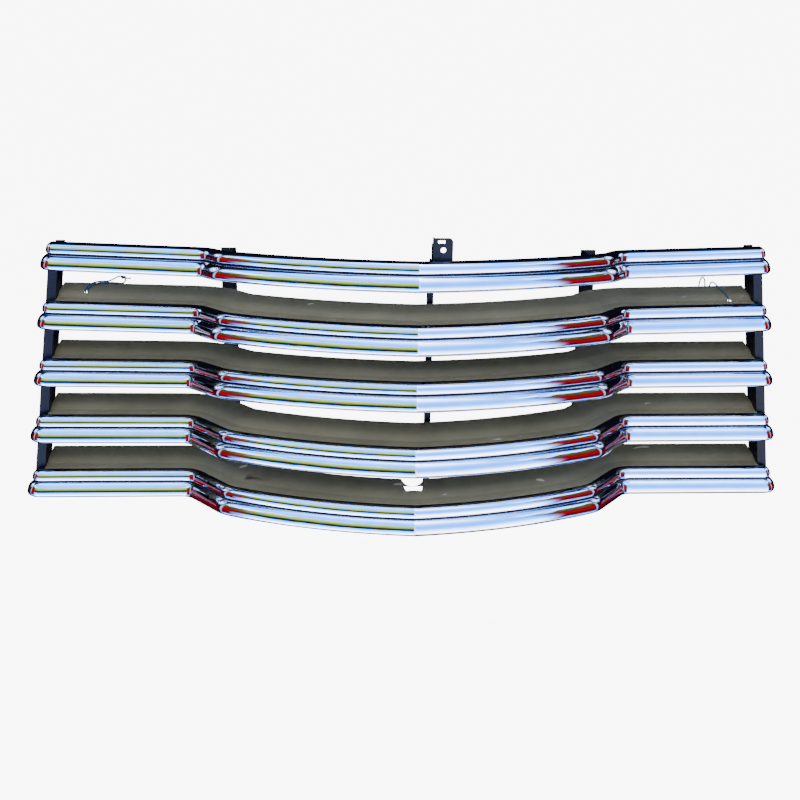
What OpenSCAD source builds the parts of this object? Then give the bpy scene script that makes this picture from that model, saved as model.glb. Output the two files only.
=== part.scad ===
// Five-bar pressed-steel truck grille: chrome bars on black uprights, with a painted
// shelf panel between each pair of bars.  Millimetres.  +X is the right-hand side,
// -Y the front, +Z up.  The origin is under the middle of the whole assembly's box.

/* [Overall] */
// Half the length of the bottom bar, tip to centre line
bottom_half = 720; // [700:1:760]
// Height from one bar to the next
pitch = 107; // [100:1:120]
// How much shorter each half bar is than the one below it
length_step = 14; // [8:1:16]
// How far the nose stands in front of the bar tips
nose_depth = 196; // [190:1:205]

/* [Bar plan] */
// Half-angle of the crease on the centre line, degrees
crease = 6; // [4:0.5:7]
// Heading of the bow at its outer end, degrees
bow_end = 27; // [26:0.5:28]
// Half-width of the bow
bow_half = 316; // [310:1:345]
// Heading of the steep part of the side bends, degrees
bend_angle = 52; // [50:0.5:54]
// Radius of both side bends at the back of a bar
bend_r = 55; // [50:1:58]
// Sweep of the top bar's wings, degrees
top_sweep = 12; // [0:0.5:12]
// How far the third bar's nose is tipped up, degrees
third_lift = 2.6; // [0:0.1:3]

/* [Bar section] */
// Thickness of the pressed bar
bar_sheet = 1.5; // [1.2:0.1:1.6]
// How far the lower ridge stands out
lower_front = 28.8; // [26:0.1:32]
// Radius of the lower ridge
lower_r = 24; // [22:0.5:26]
// Radius of the upper ridge
upper_r = 15.5; // [14:0.1:15.5]
// Upright face between the nose of the upper ridge and its round top
upper_face = 2; // [1:0.5:4]
// Radius under the lower ridge
corner_r = 6; // [4:0.5:7]

/* [Shelf panels] */
// Thickness of a panel
panel_sheet = 1.4; // [1:0.1:1.6]
// Height of a panel's front lip above the underside of the bar in front of it
lip_z = 48; // [46:0.5:49]
// How far back a panel reaches
panel_depth = 74; // [70:1:76]
// Slope of a panel's rear part, degrees
panel_slope = 15; // [13:0.5:16]

/* [Uprights] */
// Thickness of the upright plates
plate = 2.5; // [2:0.1:3]
// Depth of an outer channel, front to back
channel_depth = 50; // [45:1:55]
// Width of an outer channel's flanges
channel_flange = 17; // [15:1:19]
// Distance from a bar's tip in to the outer channel's edge
tip_overhang = 13; // [11:1:15]
// Distance from the centre line to an inner upright
inner_x = 322; // [316:1:345]
// Width of an inner upright's back flange
inner_flange = 28; // [20:1:30]
// Distance of the centre upright to the right of the centre line
centre_x = 22; // [20:1:24]
// Width of the centre upright's back flange
centre_flange = 12; // [10:1:14]

/* [Fasteners] */
// Diameter of the bar bolts
bolt_d = 8; // [6:0.5:8]
// Diameter of the panel studs and end screws
stud_d = 6; // [5:0.5:6]
// Diameter of the fender bolt holes in the outer channels
fender_hole_d = 9; // [8:0.5:10]
// Diameter of the hole in the top bracket
bracket_hole_d = 9; // [8:0.5:10]

/* [Hidden] */
BAR_NAMES = ["top_bar", "second_bar", "third_bar", "fourth_bar", "bottom_bar"];
PANEL_NAMES = ["top_panel", "second_panel", "third_panel", "lower_panel"];

last = len(BAR_NAMES) - 1;          // index of the bottom bar
middle = 2;                         // index of the third bar
far = 2000;                         // larger than the whole grille
fine = 0.2;                         // running gap between plates that only touch in use
step = 1;                           // keeps the faces of welded plates out of one plane
chrome = [0.80, 0.84, 0.90];
panel_paint = [0.47, 0.46, 0.41];
black_paint = [0.08, 0.08, 0.10];
zinc = [0.62, 0.62, 0.60];
cord_blue = [0.10, 0.28, 0.42];

// Plan curve.  A heading is the angle by which a bar's left half, followed from its tip
// to the centre, points forward of the +X direction.
cap_r = lower_front;                // the tip is the section turned about an upright axis
bow_r = bow_half / (sin(bow_end) - sin(crease));
bow_drop = bow_r * (cos(crease) - cos(bow_end));
panel_bend_r = bend_r + 37;         // a panel's inner bend, which is drawn from its front
function bar_half(k) = bottom_half - length_step * (last - k);
function bar_z(k) = pitch * (last - k);
function sweep(k) = top_sweep * pow((last - k) / last, 2);
function lift(k) = k == middle ? third_lift : 0;
function lift_z(k, y) = bar_z(k) - y * sin(lift(k));    // height of a tipped bar at y
function wing_x(k) = bar_half(k) - cap_r;   // where the straight wing ends, at y = 0
// Forward and sideways travel of the two side bends without the straight between them
function bend_dy(k, ri) = bend_r * (cos(sweep(k)) - cos(bend_angle))
                          + ri * (cos(bow_end) - cos(bend_angle));
function bend_dx(k, ri) = bend_r * (sin(bend_angle) - sin(sweep(k)))
                          + ri * (sin(bend_angle) - sin(bow_end));
// Length of the straight between the bends, which brings the wing out at y = 0
function bend_straight(k, ri) =
    (nose_depth - bow_drop - bend_dy(k, ri)
     - (wing_x(k) - bow_half - bend_dx(k, ri)) * tan(sweep(k)))
    / (sin(bend_angle) - cos(bend_angle) * tan(sweep(k)));
function wing_length(k, ri) =
    (wing_x(k) - bow_half - bend_dx(k, ri) - bend_straight(k, ri) * cos(bend_angle))
    / cos(sweep(k));
function bow_heading(x) = asin(abs(x) / bow_r + sin(crease));
function bow_y(x) = -nose_depth + bow_r * (cos(crease) - cos(bow_heading(x)));
function normal(a) = [-sin(a), -cos(a), 0];
function along(a) = [cos(a), -sin(a), 0];

// The modules below are drawn with y = 0 at the bar tips.  assembly() then puts the origin
// under the middle of the box, between the crease and the tipped panel's back edge.
box_front = nose_depth - bow_r * cos(crease)
            + sqrt(pow(bow_r + lower_front, 2) - pow(bow_r * sin(crease), 2));

// Outlines.  x is the distance in front of the bar's back, y the height.
function arc(c, r, from, to, n) =
    [for (i = [0:n]) let (a = from + (to - from) * i / n) [c[0] + r * cos(a), c[1] + r * sin(a)]];
function polar(a) = [cos(a), sin(a)];
function reversed(v) = [for (i = [len(v) - 1:-1:0]) v[i]];

notch_angle = 62;                   // facing of the lower ridge where it meets the groove
under_angle = -65;                  // facing of the underside of the upper ridge
groove_r = 1.3;
nose_r = 2.4;
hem_r = 2;                          // bend into the return lips
hem_h = 6;                          // height of a return lip
lower_c = [lower_front - lower_r, corner_r];
corner_c = [lower_front - corner_r, corner_r];
groove_c = lower_c + (lower_r + groove_r) * polar(notch_angle);
nose_c = groove_c - (groove_r + nose_r) * polar(under_angle);
upper_c = [nose_c[0] + nose_r - upper_r, nose_c[1] + upper_face];
bar_h = upper_c[1] + upper_r;
// One face of the pressed sheet, in by t from the outside
function bar_face(t) = concat(
    [[t, bar_h - hem_r - hem_h]],
    arc([hem_r, bar_h - hem_r], hem_r - t, 180, 90, 3),
    arc(upper_c, upper_r - t, 90, 0, 8),
    arc(nose_c, nose_r - t, 0, under_angle, 3),
    arc(groove_c, groove_r + t, under_angle + 180, notch_angle + 180, 5),
    arc(lower_c, lower_r - t, notch_angle, 0, 7),
    arc(corner_c, corner_r - t, 0, -90, 5),
    arc([hem_r, hem_r], hem_r - t, -90, -180, 3),
    [[t, hem_r + hem_h]]);
bar_outline = concat(bar_face(0), reversed(bar_face(bar_sheet)));

// Panel outline, x negative because the panel lies behind the bar
lip_slope = 7;
step_slope = 40;
step_h = 5;                         // height of the steep step behind the lip
lip_front = -3;
lip_r = 2;
junction_r = 6;
crown_r = 30;
back_r = 3;
back_flange = 12;
lip_flange = 9;
lip_len = 17;
lip_c = [lip_front - lip_r, lip_z - lip_r];
lip_back = lip_c + lip_r * polar(90 - lip_slope) + lip_len * polar(180 - lip_slope);
junction_c = lip_back + junction_r * polar(90 - lip_slope);
step_foot = junction_c - junction_r * polar(90 - step_slope);
step_head = step_foot + step_h / sin(step_slope) * polar(180 - step_slope);
crown_c = step_head - crown_r * polar(90 - step_slope);
crown_back = crown_c + crown_r * polar(90 - panel_slope);
slope_len = (panel_depth - back_r + crown_back[0]) / cos(panel_slope) - back_r * tan(panel_slope);
back_c = crown_back + slope_len * polar(180 - panel_slope) - back_r * polar(90 - panel_slope);
panel_top = back_c[1] + back_r;
function panel_face(t) = concat(
    [[lip_front - t, lip_z - lip_flange]],
    arc(lip_c, lip_r - t, 0, 90 - lip_slope, 3),
    arc(junction_c, junction_r + t, 270 - lip_slope, 270 - step_slope, 4),
    arc(crown_c, crown_r - t, 90 - step_slope, 90 - panel_slope, 5),
    arc(back_c, back_r - t, 90 - panel_slope, 180, 4),
    [[back_c[0] - back_r + t, back_c[1] - back_flange]]);
panel_outline = concat(panel_face(0), reversed(panel_face(panel_sheet)));
box_back = panel_depth * cos(sweep(middle)) + back_c[1] * sin(third_lift);

tab_w = 20;                         // end tabs, flat against the outer channels
tab_h = 22;
tab_in = 5;                         // from the channel's front to the tab
tab_bite = 0.2;                     // a tab's top above the front of the lip

// Uprights
lean = atan(length_step / pitch);   // the outer channels spread towards the bottom
channel_gap = 8;                    // between the bar tips and an outer channel
channel_top_drop = 6;               // from the top bar's top down to a channel's top
end_tab_at = 20;                    // from the wing's end to the middle of a tab
pad_z0 = 5;                         // underside of a bar pad above the bar's underside
pad_h = 26;
bolt_z = 18;                        // height of a bar bolt above the bar's underside
pad_in = 14;                        // a pad's reach to the centre side of its bolt
pad_out = 20;                       // and to the upright's side
inner_pad_x = inner_x - pad_out * cos(bow_heading(inner_x - pad_out));
centre_pad_x = centre_x + 17;
inner_back = 62;                    // y of the inner uprights' back flanges
centre_back = -100;                 // y of the centre upright's back flange
spine = 12;                         // depth of an inner or centre upright behind the panels
lug_z = lip_z - 3;                  // top of the panel lugs
lug_d = 18;
lug_t = 2.5;
stud_back = 13;                     // the studs stand this far behind the lip's front
stud_len = 16;
lug_y0 = 8;                         // from a bar's back to the front of a lug
lug_reach = 9;                      // a lug's reach past its stud
upright_top = bar_z(0) + pad_z0 + pad_h;
fender_holes = [70, 250, 430];      // heights of the fender bolt holes, along the channel
foot_w = 42;
foot_hole_x = bottom_half - tip_overhang - channel_flange - 16;
slot_extra = 1;                     // clearance of a bolt in its hole

// Fasteners
clip_w = 36;
clip_t = 3;
clip_gap = 0.2;
clip_margin = 1;                    // between a clip's ends and the inside of the bar
clip_front = bar_sheet + clip_gap + clip_t;
nut_w = 13;
nut_h = 6.5;
washer_h = 2;
washer_d = 14;
head_d = 16;
head_h = 3.5;
screw_head_d = 11;
screw_head_h = 3;
stud_nut_w = 10;
stud_nut_h = 5;
end_screw_tail = plate + stud_nut_h + 3;
pad_gap = 0.6;                      // between a bar's back and its pad
bolt_tail = 5;                      // thread standing out of a nut

// Latch bracket above the top bar
bracket_w = 33;
bracket_rise = 36;                  // above the top bar
bracket_front = -184;               // y of its front face
bracket_wall = 34;                  // depth of the side that bolts to the centre upright
bracket_lip = 12;                   // depth of its free side
bracket_foot = 8;                   // underside of the bolted side above the bar's underside
bracket_face = 33;                  // underside of the front face above the bar's underside
bracket_hole = [15, 20];            // hole, in from the left edge and down from the top
bracket_slot = [12, 5];             // slot near the top
bracket_bolt_y = -158;
bracket_bolt_z = [16, 36];          // heights above the bar's underside
bracket_web_y = -172;               // front of the centre upright's ear for the bracket
bracket_web = [plate, 30, 40];

// Crank hole relief in the lower panel
relief_r = 22;
relief_z = panel_top + 7;

// Twine ends tied through holes in the top panel, as round points along their routes
tie_d = 3;
twine_hole_d = 8;
twine_holes = [[-593, 30, 372], [601, 18, 362]];
left_route = [[-595, 30, 370], [-595, 30, 377], [-595, 32, 382], [-595, 37, 386], [-594, 43, 388],
              [-591, 50, 390], [-585, 58, 393], [-577, 61, 394], [-567, 62, 394], [-557, 62, 395],
              [-550, 63, 398], [-544, 64, 402], [-537, 65, 404], [-531, 64, 403], [-527, 61, 399],
              [-527, 57, 395], [-531, 55, 392], [-538, 55, 392], [-546, 56, 393], [-555, 57, 393],
              [-565, 57, 393], [-575, 56, 392], [-583, 52, 391], [-588, 45, 388], [-591, 37, 386],
              [-591, 32, 382], [-591, 30, 376], [-591, 30, 370]];
right_route = [[601, 18, 362], [601, 18, 370], [599, 22, 376], [596, 30, 382], [593, 39, 386],
               [590, 49, 390], [587, 56, 394], [584, 63, 398], [581, 69, 398], [579, 72, 393],
               [578, 72, 384], [576, 71, 376], [573, 71, 372], [570, 70, 377], [569, 70, 386],
               [569, 70, 396], [567, 70, 404], [563, 69, 407], [559, 68, 404], [557, 68, 396],
               [556, 67, 386], [555, 67, 376]];

// Thin straps inside the pressings tie each stretch to the next
strap_half = 3;                     // half the length of a strap
strap_in = 0.8;                     // face of a strap, in from the outside of the sheet
strap_t = 1.2;
slit = 0.01;                        // left between stretches, inside the strap
bar_strap = concat(arc(lower_c, lower_r - strap_in, notch_angle - 6, 4, 5),
                   arc(lower_c, lower_r - strap_in - strap_t, 4, notch_angle - 6, 5));
strap_low = 93 - step_slope;
strap_high = 87 - panel_slope;
panel_strap = concat(arc(crown_c, crown_r - strap_in, strap_low, strap_high, 4),
                     arc(crown_c, crown_r - strap_in - strap_t, strap_high, strap_low, 4));

module sheet_arc(outline, centre, r, side, from, to) {
    // side is 1 where the bar's front is on the outside of the bend and -1 on the inside
    cut = slit / r * 180 / PI;
    start = side > 0 ? -90 - to : 90 - to;
    translate(centre) rotate([0, 0, start + cut])
        rotate_extrude(angle = to - from - 2 * cut, $fn = 96)
            polygon([for (p = outline) [r + side * p[0], p[1]]]);
}

module sheet_run(outline, from, heading, length) {
    translate(from) rotate([0, 0, -heading]) rotate([90, 0, 90])
        translate([0, 0, slit]) linear_extrude(length - 2 * slit)
            polygon([for (p = outline) [-p[0], p[1]]]);
}

module strap(outline, at, heading) {
    sheet_run(outline, at - strap_half * along(heading), heading, 2 * strap_half);
}

// The left half of a pressing: bow, inner bend, straight, outer bend, wing and, on a bar, its tip
module half_sweep(outline, ties, k, ri, capped) {
    bow_c = [bow_r * sin(crease), -nose_depth + bow_r * cos(crease), 0];
    inner_c = bow_c + (bow_r - ri) * normal(bow_end);
    run = bend_straight(k, ri);
    run_in = inner_c + ri * normal(bend_angle);
    run_out = run_in - run * along(bend_angle);
    outer_c = run_out + bend_r * normal(bend_angle);
    wing_in = outer_c - bend_r * normal(sweep(k));
    tip = [-wing_x(k), 0, 0];
    intersection() {
        sheet_arc(outline, bow_c, bow_r, 1, -1, bow_end);
        translate([-far, -far / 2, -far / 2]) cube(far);
    }
    sheet_arc(outline, inner_c, ri, 1, bow_end, bend_angle);
    sheet_run(outline, run_out, bend_angle, run);
    sheet_arc(outline, outer_c, bend_r, -1, sweep(k), bend_angle);
    sheet_run(outline, tip, sweep(k), wing_length(k, ri));
    strap(ties, bow_c + bow_r * normal(bow_end), bow_end);
    strap(ties, run_in, bend_angle);
    strap(ties, run_out, bend_angle);
    strap(ties, wing_in, sweep(k));
    if (capped) {
        strap(ties, tip, sweep(k));
        translate(tip) rotate([0, 0, 180 - sweep(k)])
            rotate_extrude(angle = 90, $fn = 96) polygon(outline);
    }
}

module assembly() {
    translate([0, (box_front - box_back) / 2, 0]) children();
}

module both_sides() {
    children();
    mirror([1, 0, 0]) children();
}

// Puts its children at a bar's height, tipped with the bar
module on_bar(k) {
    translate([0, 0, bar_z(k)]) rotate([-lift(k), 0, 0]) children();
}

// Local frame on a bar's back: local -Y is the bar's front, local X runs along the bar
module on_bow(x) {
    translate([x, bow_y(x), 0]) rotate([0, 0, sign(x) * bow_heading(x)]) children();
}
module on_wing(k, side) {
    mirror([side > 0 ? 1 : 0, 0, 0])
        translate([-wing_x(k), 0, 0]) rotate([0, 0, -sweep(k)])
            translate([end_tab_at, 0, 0]) children();
}

// The five bolts that hold one bar
module bar_stations(k) {
    for (side = [-1, 1]) on_wing(k, side) children();
    for (side = [-1, 1]) on_bow(side * inner_pad_x) children();
    on_bow(centre_pad_x) children();
}

module chrome_bar(k) {
    color(chrome) on_bar(k) both_sides() half_sweep(bar_outline, bar_strap, k, bend_r, true);
}

module top_bar() { assembly() chrome_bar(0); }
module second_bar() { assembly() chrome_bar(1); }
module third_bar() { assembly() chrome_bar(2); }
module fourth_bar() { assembly() chrome_bar(3); }
module bottom_bar() { assembly() chrome_bar(4); }

module panel(k) {
    color(panel_paint) difference() {
        union() {
            on_bar(k + 1) {
                both_sides() half_sweep(panel_outline, panel_strap, k + 1, panel_bend_r, false);
                for (side = [-1, 1]) on_bow(side * inner_pad_x) panel_stud();
                on_bow(centre_pad_x) panel_stud();
            }
            both_sides() end_tab(k + 1);
        }
        // The ends are cut to the lean of the outer channels
        both_sides() channel_frame()
            translate([channel_flange + fine - far, -far / 2, -far / 2]) cube(far);
        both_sides() channel_frame() end_screw_axis(k + 1) stud_hole();
        if (k == 0) for (at = twine_holes) twine_hole(at);
        if (k == last - 1) translate([0, -nose_depth + panel_depth, bar_z(k + 1) + relief_z])
            rotate([90, 0, 0]) cylinder(r = relief_r, h = 70, center = true, $fn = 64);
    }
}

module stud_hole() {
    cylinder(d = stud_d + slot_extra, h = 20, center = true, $fn = 32);
}
module twine_hole(at) {
    translate(at) cylinder(d = twine_hole_d, h = 20, $fn = 32);
}

module panel_stud() {
    translate([0, stud_back - lip_front, lip_z - stud_len])
        cylinder(d = stud_d, h = stud_len + panel_sheet / 2, $fn = 32);
}

// Tab under a panel's end, flat against the outer channel and just into the panel's lip
module end_tab(k) {
    tab_x = channel_flange + fine;
    tab_top = (bar_z(k) + lip_z + tab_bite + tab_x * sin(lean)) / cos(lean);
    channel_frame() translate([tab_x, channel_gap + tab_in, tab_top - tab_h])
        cube([panel_sheet, tab_w, tab_h]);
}

module top_panel() { assembly() panel(0); }
module second_panel() { assembly() panel(1); }
module third_panel() { assembly() panel(2); }
module lower_panel() { assembly() panel(3); }

// Frame of the left outer channel: x from its outer edge inwards, z along its lean
module channel_frame() {
    translate([-(bottom_half - tip_overhang) - bar_h / 2 * tan(lean), 0, 0])
        rotate([0, lean, 0]) children();
}
module end_screw_axis(k) {
    translate([channel_flange, channel_gap + tab_in + tab_w / 2, (bar_z(k) + lip_z - tab_h / 2) / cos(lean)])
        rotate([0, 90, 0]) children();
}

module outer_upright() {
    top = bar_z(0) + bar_h - channel_top_drop;
    color(black_paint) difference() {
        union() {
            intersection() {
                channel_frame() translate([0, channel_gap, -far / 2]) {
                    cube([channel_flange, plate, far]);
                    translate([channel_flange - plate, 0, 0]) cube([plate, channel_depth, far]);
                    translate([0, channel_depth - plate, 0]) cube([channel_flange, plate, far]);
                }
                translate([-far / 2, -far / 2, 0]) cube([far, far, top]);
            }
            // Ears and tabs that hold the bars
            for (k = [0:last]) {
                channel_frame()
                    translate([channel_flange - plate, pad_gap, (bar_z(k) + pad_z0) / cos(lean)])
                        cube([plate, channel_gap + plate, pad_h]);
                on_bar(k) on_wing(k, -1) translate([-end_tab_at - 4, pad_gap, pad_z0 + step])
                    cube([end_tab_at + 4 + pad_in, plate, pad_h - 2 * step]);
            }
            // Foot
            translate([-foot_hole_x - foot_w / 2, channel_gap + step, 0])
                cube([foot_w, channel_depth - 2 * step, plate]);
        }
        for (k = [0:last]) on_bar(k) on_wing(k, -1) bolt_hole();
        for (k = [1:last]) channel_frame() end_screw_axis(k) stud_hole();
        for (z = fender_holes) channel_frame()
            translate([channel_flange / 2 - 1, channel_gap + channel_depth, z]) rotate([90, 0, 0])
                cylinder(d = fender_hole_d, h = 20, center = true, $fn = 48);
        translate([-foot_hole_x, channel_gap + channel_depth / 2, 0])
            cylinder(d = fender_hole_d, h = 20, center = true, $fn = 48);
    }
}
module bolt_hole() {
    translate([0, 0, bolt_z]) rotate([90, 0, 0])
        cylinder(d = bolt_d + slot_extra, h = 12, center = true, $fn = 32);
}
module left_outer_upright() { assembly() outer_upright(); }
module right_outer_upright() { assembly() mirror([1, 0, 0]) outer_upright(); }

// Pad behind a bar and lug under a panel, reaching back to the upright's web by the given length
module pad(reach) {
    translate([-reach, pad_gap, pad_z0 + step]) cube([reach + pad_in, plate, pad_h - 2 * step]);
}
module lug(reach) {
    translate([-reach, lug_y0, lug_z - lug_t]) cube([reach + lug_reach, lug_d, lug_t]);
}
module lug_hole() {
    translate([0, stud_back - lip_front, lug_z]) stud_hole();
}

module inner_upright() {
    front = bow_y(inner_pad_x) + pad_out * sin(bow_heading(inner_pad_x)) + pad_gap + 1;
    color(black_paint) difference() {
        union() {
            comb(-inner_x - plate, front, inner_back);
            translate([-inner_x - inner_flange, inner_back - plate, 0])
                cube([inner_flange, plate, upright_top]);
            intersection() {
                union() {
                    for (k = [0:last]) on_bar(k) on_bow(-inner_pad_x) pad(2 * pad_out);
                    for (k = [1:last]) on_bar(k) on_bow(-inner_pad_x) lug(2 * pad_out);
                }
                translate([-inner_x - plate / 2, -far / 2, -far / 2]) cube(far);
            }
        }
        for (k = [0:last]) on_bar(k) on_bow(-inner_pad_x) bolt_hole();
        for (k = [1:last]) on_bar(k) on_bow(-inner_pad_x) lug_hole();
    }
}
module left_inner_upright() { assembly() inner_upright(); }
module right_inner_upright() { assembly() mirror([1, 0, 0]) inner_upright(); }

// Upright web in the plane from x: a spine with one finger for each bar
module comb(x, front, back) {
    translate([x, back - spine, 0]) cube([plate, spine, upright_top]);
    for (k = [0:last]) translate([0, 0, lift_z(k, front)]) {
        translate([x, front, pad_z0]) cube([plate, back - front, pad_h]);
        if (k > 0) translate([x, front + lug_y0, pad_z0 + step])
            cube([plate, lug_d + 6, lug_z - pad_z0]);
    }
}

module centre_upright() {
    front = bow_y(centre_x) + pad_gap + 1;
    assembly() color(black_paint) difference() {
        union() {
            comb(centre_x - plate, front, centre_back);
            translate([centre_x - plate, centre_back - plate, 0])
                cube([centre_flange, plate, upright_top]);
            for (k = [0:last]) on_bar(k) on_bow(centre_pad_x) pad(centre_pad_x - centre_x + 1);
            for (k = [1:last]) on_bar(k) on_bow(centre_pad_x) lug(centre_pad_x - centre_x + 1);
            // Deeper web behind the top bar, where the latch bracket is bolted on
            translate([centre_x - plate, bracket_web_y, bar_z(0) + pad_z0]) cube(bracket_web);
        }
        for (k = [0:last]) on_bar(k) on_bow(centre_pad_x) bolt_hole();
        for (k = [1:last]) on_bar(k) on_bow(centre_pad_x) lug_hole();
        bracket_bolt_places() stud_hole();
    }
}

module bracket_bolt_places() {
    for (z = bracket_bolt_z)
        translate([centre_x, bracket_bolt_y, bar_z(0) + z]) rotate([0, 90, 0]) children();
}

module latch_bracket() {
    top = bar_z(0) + bar_h + bracket_rise;
    foot = bar_z(0) + bracket_foot;
    face = bar_z(0) + bracket_face;
    corner = 7;
    assembly() color(black_paint) difference() {
        union() {
            // Front face with its right-hand top corner rounded
            translate([centre_x, bracket_front + plate, 0]) rotate([90, 0, 0]) linear_extrude(plate) {
                translate([0, face]) square([bracket_w, top - face - corner]);
                translate([0, face]) square([bracket_w - corner, top - face]);
                translate([bracket_w - corner, top - corner]) circle(corner, $fn = 48);
            }
            translate([centre_x, bracket_front, foot]) cube([plate, bracket_wall, top - foot - 14]);
            translate([centre_x, bracket_front, foot]) cube([plate, bracket_lip, top - foot]);
            translate([centre_x + bracket_w - plate, bracket_front, face])
                cube([plate, bracket_lip, top - face - corner]);
        }
        translate([centre_x + bracket_hole[0] + 2, bracket_front, top - bracket_hole[1]])
            rotate([90, 0, 0]) cylinder(d = bracket_hole_d, h = 20, center = true, $fn = 48);
        translate([centre_x + 8, bracket_front - 5, top - 9]) cube([bracket_slot[0], 15, bracket_slot[1]]);
        bracket_bolt_places() stud_hole();
    }
}

// Clip plates inside the bars, behind the return lips
module bar_clips() {
    assembly() color(zinc) for (k = [0:last]) on_bar(k) bar_stations(k) bar_clip();
}
module bar_clip() {
    difference() {
        translate([-clip_w / 2, -clip_front, bar_sheet + clip_margin])
            cube([clip_w, clip_t, bar_h - 2 * (bar_sheet + clip_margin)]);
        translate([0, 0, bolt_z]) rotate([90, 0, 0])
            cylinder(d = bolt_d, h = 20, center = true, $fn = 32);
    }
}
module bar_bolts() {
    assembly() color(zinc) for (k = [0:last]) on_bar(k) bar_stations(k) bar_bolt();
}
module bar_bolt() {
    tail = pad_gap + plate + washer_h + nut_h + bolt_tail;
    translate([0, 0, bolt_z]) rotate([-90, 0, 0]) {
        translate([0, 0, -clip_front]) cylinder(d = bolt_d, h = clip_front + tail, $fn = 32);
        translate([0, 0, -clip_front - head_h]) cylinder(d = head_d, h = head_h, $fn = 48);
    }
}
module bar_lock_washers() {
    assembly() color(zinc) for (k = [0:last]) on_bar(k) bar_stations(k) bar_washer();
}
module bar_washer() {
    translate([0, pad_gap + plate, bolt_z]) rotate([-90, 0, 0]) difference() {
        cylinder(d = washer_d, h = washer_h, $fn = 48);
        translate([0, 0, -1]) cylinder(d = bolt_d, h = washer_h + 2, $fn = 32);
    }
}
module bar_nuts() {
    assembly() color(zinc) for (k = [0:last]) on_bar(k) bar_stations(k)
        translate([0, pad_gap + plate + washer_h, bolt_z]) rotate([-90, 0, 0])
            hex_nut(nut_w, nut_h, bolt_d);
}
module hex_nut(across, h, bore) {
    difference() {
        cylinder(d = across / cos(30), h = h, $fn = 6);
        translate([0, 0, -1]) cylinder(d = bore, h = h + 2, $fn = 32);
    }
}

module panel_nuts() {
    assembly() color(zinc) for (k = [1:last]) on_bar(k) {
        for (side = [-1, 1]) on_bow(side * inner_pad_x) panel_nut();
        on_bow(centre_pad_x) panel_nut();
    }
}
module panel_nut() {
    translate([0, stud_back - lip_front, lug_z - lug_t - stud_nut_h])
        hex_nut(stud_nut_w, stud_nut_h, stud_d);
}

module panel_end_screws() {
    assembly() color(zinc) for (k = [1:last]) both_sides() channel_frame() end_screw_axis(k) {
        translate([0, 0, fine + panel_sheet]) cylinder(d = screw_head_d, h = screw_head_h, $fn = 48);
        translate([0, 0, -end_screw_tail])
            cylinder(d = stud_d, h = end_screw_tail + fine + panel_sheet, $fn = 32);
    }
}
module panel_end_nuts() {
    assembly() color(zinc) for (k = [1:last]) both_sides() channel_frame() end_screw_axis(k)
        translate([0, 0, -plate - stud_nut_h]) hex_nut(stud_nut_w, stud_nut_h, stud_d);
}
module bracket_bolts() {
    assembly() color(zinc) bracket_bolt_places() {
        translate([0, 0, -plate - 4]) cylinder(d = 10 / cos(30), h = 4, $fn = 6);
        translate([0, 0, -plate]) cylinder(d = stud_d, h = 2 * plate + stud_nut_h + 3, $fn = 32);
    }
}
module bracket_nuts() {
    assembly() color(zinc) bracket_bolt_places()
        translate([0, 0, plate]) hex_nut(stud_nut_w, stud_nut_h, stud_d);
}

// Tube of diameter d along a route, rounded through its points
function unit(v) = v / norm(v);
function smooth_point(p, i, t) = let (
    a = p[max(i - 1, 0)], b = p[i], c = p[i + 1], e = p[min(i + 2, len(p) - 1)])
    0.5 * (2 * b + (c - a) * t + (2 * a - 5 * b + 4 * c - e) * t * t + (3 * b - a - 3 * c + e) * t * t * t);
function smooth(p, n) = concat([for (i = [0:len(p) - 2]) for (j = [0:n - 1]) smooth_point(p, i, j / n)],
                               [p[len(p) - 1]]);
module tube(route, d, sides) {
    p = smooth(route, 3);
    n = len(p);
    rings = [for (i = [0:n - 1]) let (
        t = unit(p[min(i + 1, n - 1)] - p[max(i - 1, 0)]),
        u = unit(cross(t, [0.1, 0.3, 1])), v = cross(t, u))
        for (j = [0:sides - 1]) p[i] + d / 2 * (u * cos(360 * j / sides) + v * sin(360 * j / sides))];
    polyhedron(rings, concat(
        [[for (j = [sides - 1:-1:0]) j]],
        [for (i = [0:n - 2]) for (j = [0:sides - 1]) let (a = i * sides, b = a + sides, m = (j + 1) % sides)
            each [[a + j, a + m, b + m], [a + j, b + m, b + j]]],
        [[for (j = [0:sides - 1]) (n - 1) * sides + j]]));
}
module left_tie() { assembly() color(cord_blue) tube(left_route, tie_d, 8); }
module right_tie() { assembly() color(cord_blue) tube(right_route, tie_d, 8); }

top_bar();
second_bar();
third_bar();
fourth_bar();
bottom_bar();
top_panel();
second_panel();
third_panel();
lower_panel();
left_outer_upright();
right_outer_upright();
left_inner_upright();
right_inner_upright();
centre_upright();
latch_bracket();
bar_clips();
bar_bolts();
bar_lock_washers();
bar_nuts();
panel_nuts();
panel_end_screws();
panel_end_nuts();
bracket_bolts();
bracket_nuts();
left_tie();
right_tie();
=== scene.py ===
"""Looks of a five-bar chrome truck grille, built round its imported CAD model.

Metres, +X to the right-hand side, -Y to the front, +Z up.  Each sub-assembly is a class that
builds its own meshes and gives them their finish; `main` puts them together.
"""

from __future__ import annotations

import logging
import math
from dataclasses import dataclass, field
from enum import Enum

import bpy
import bmesh
import numpy as np
from mathutils import Matrix, Vector

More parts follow.
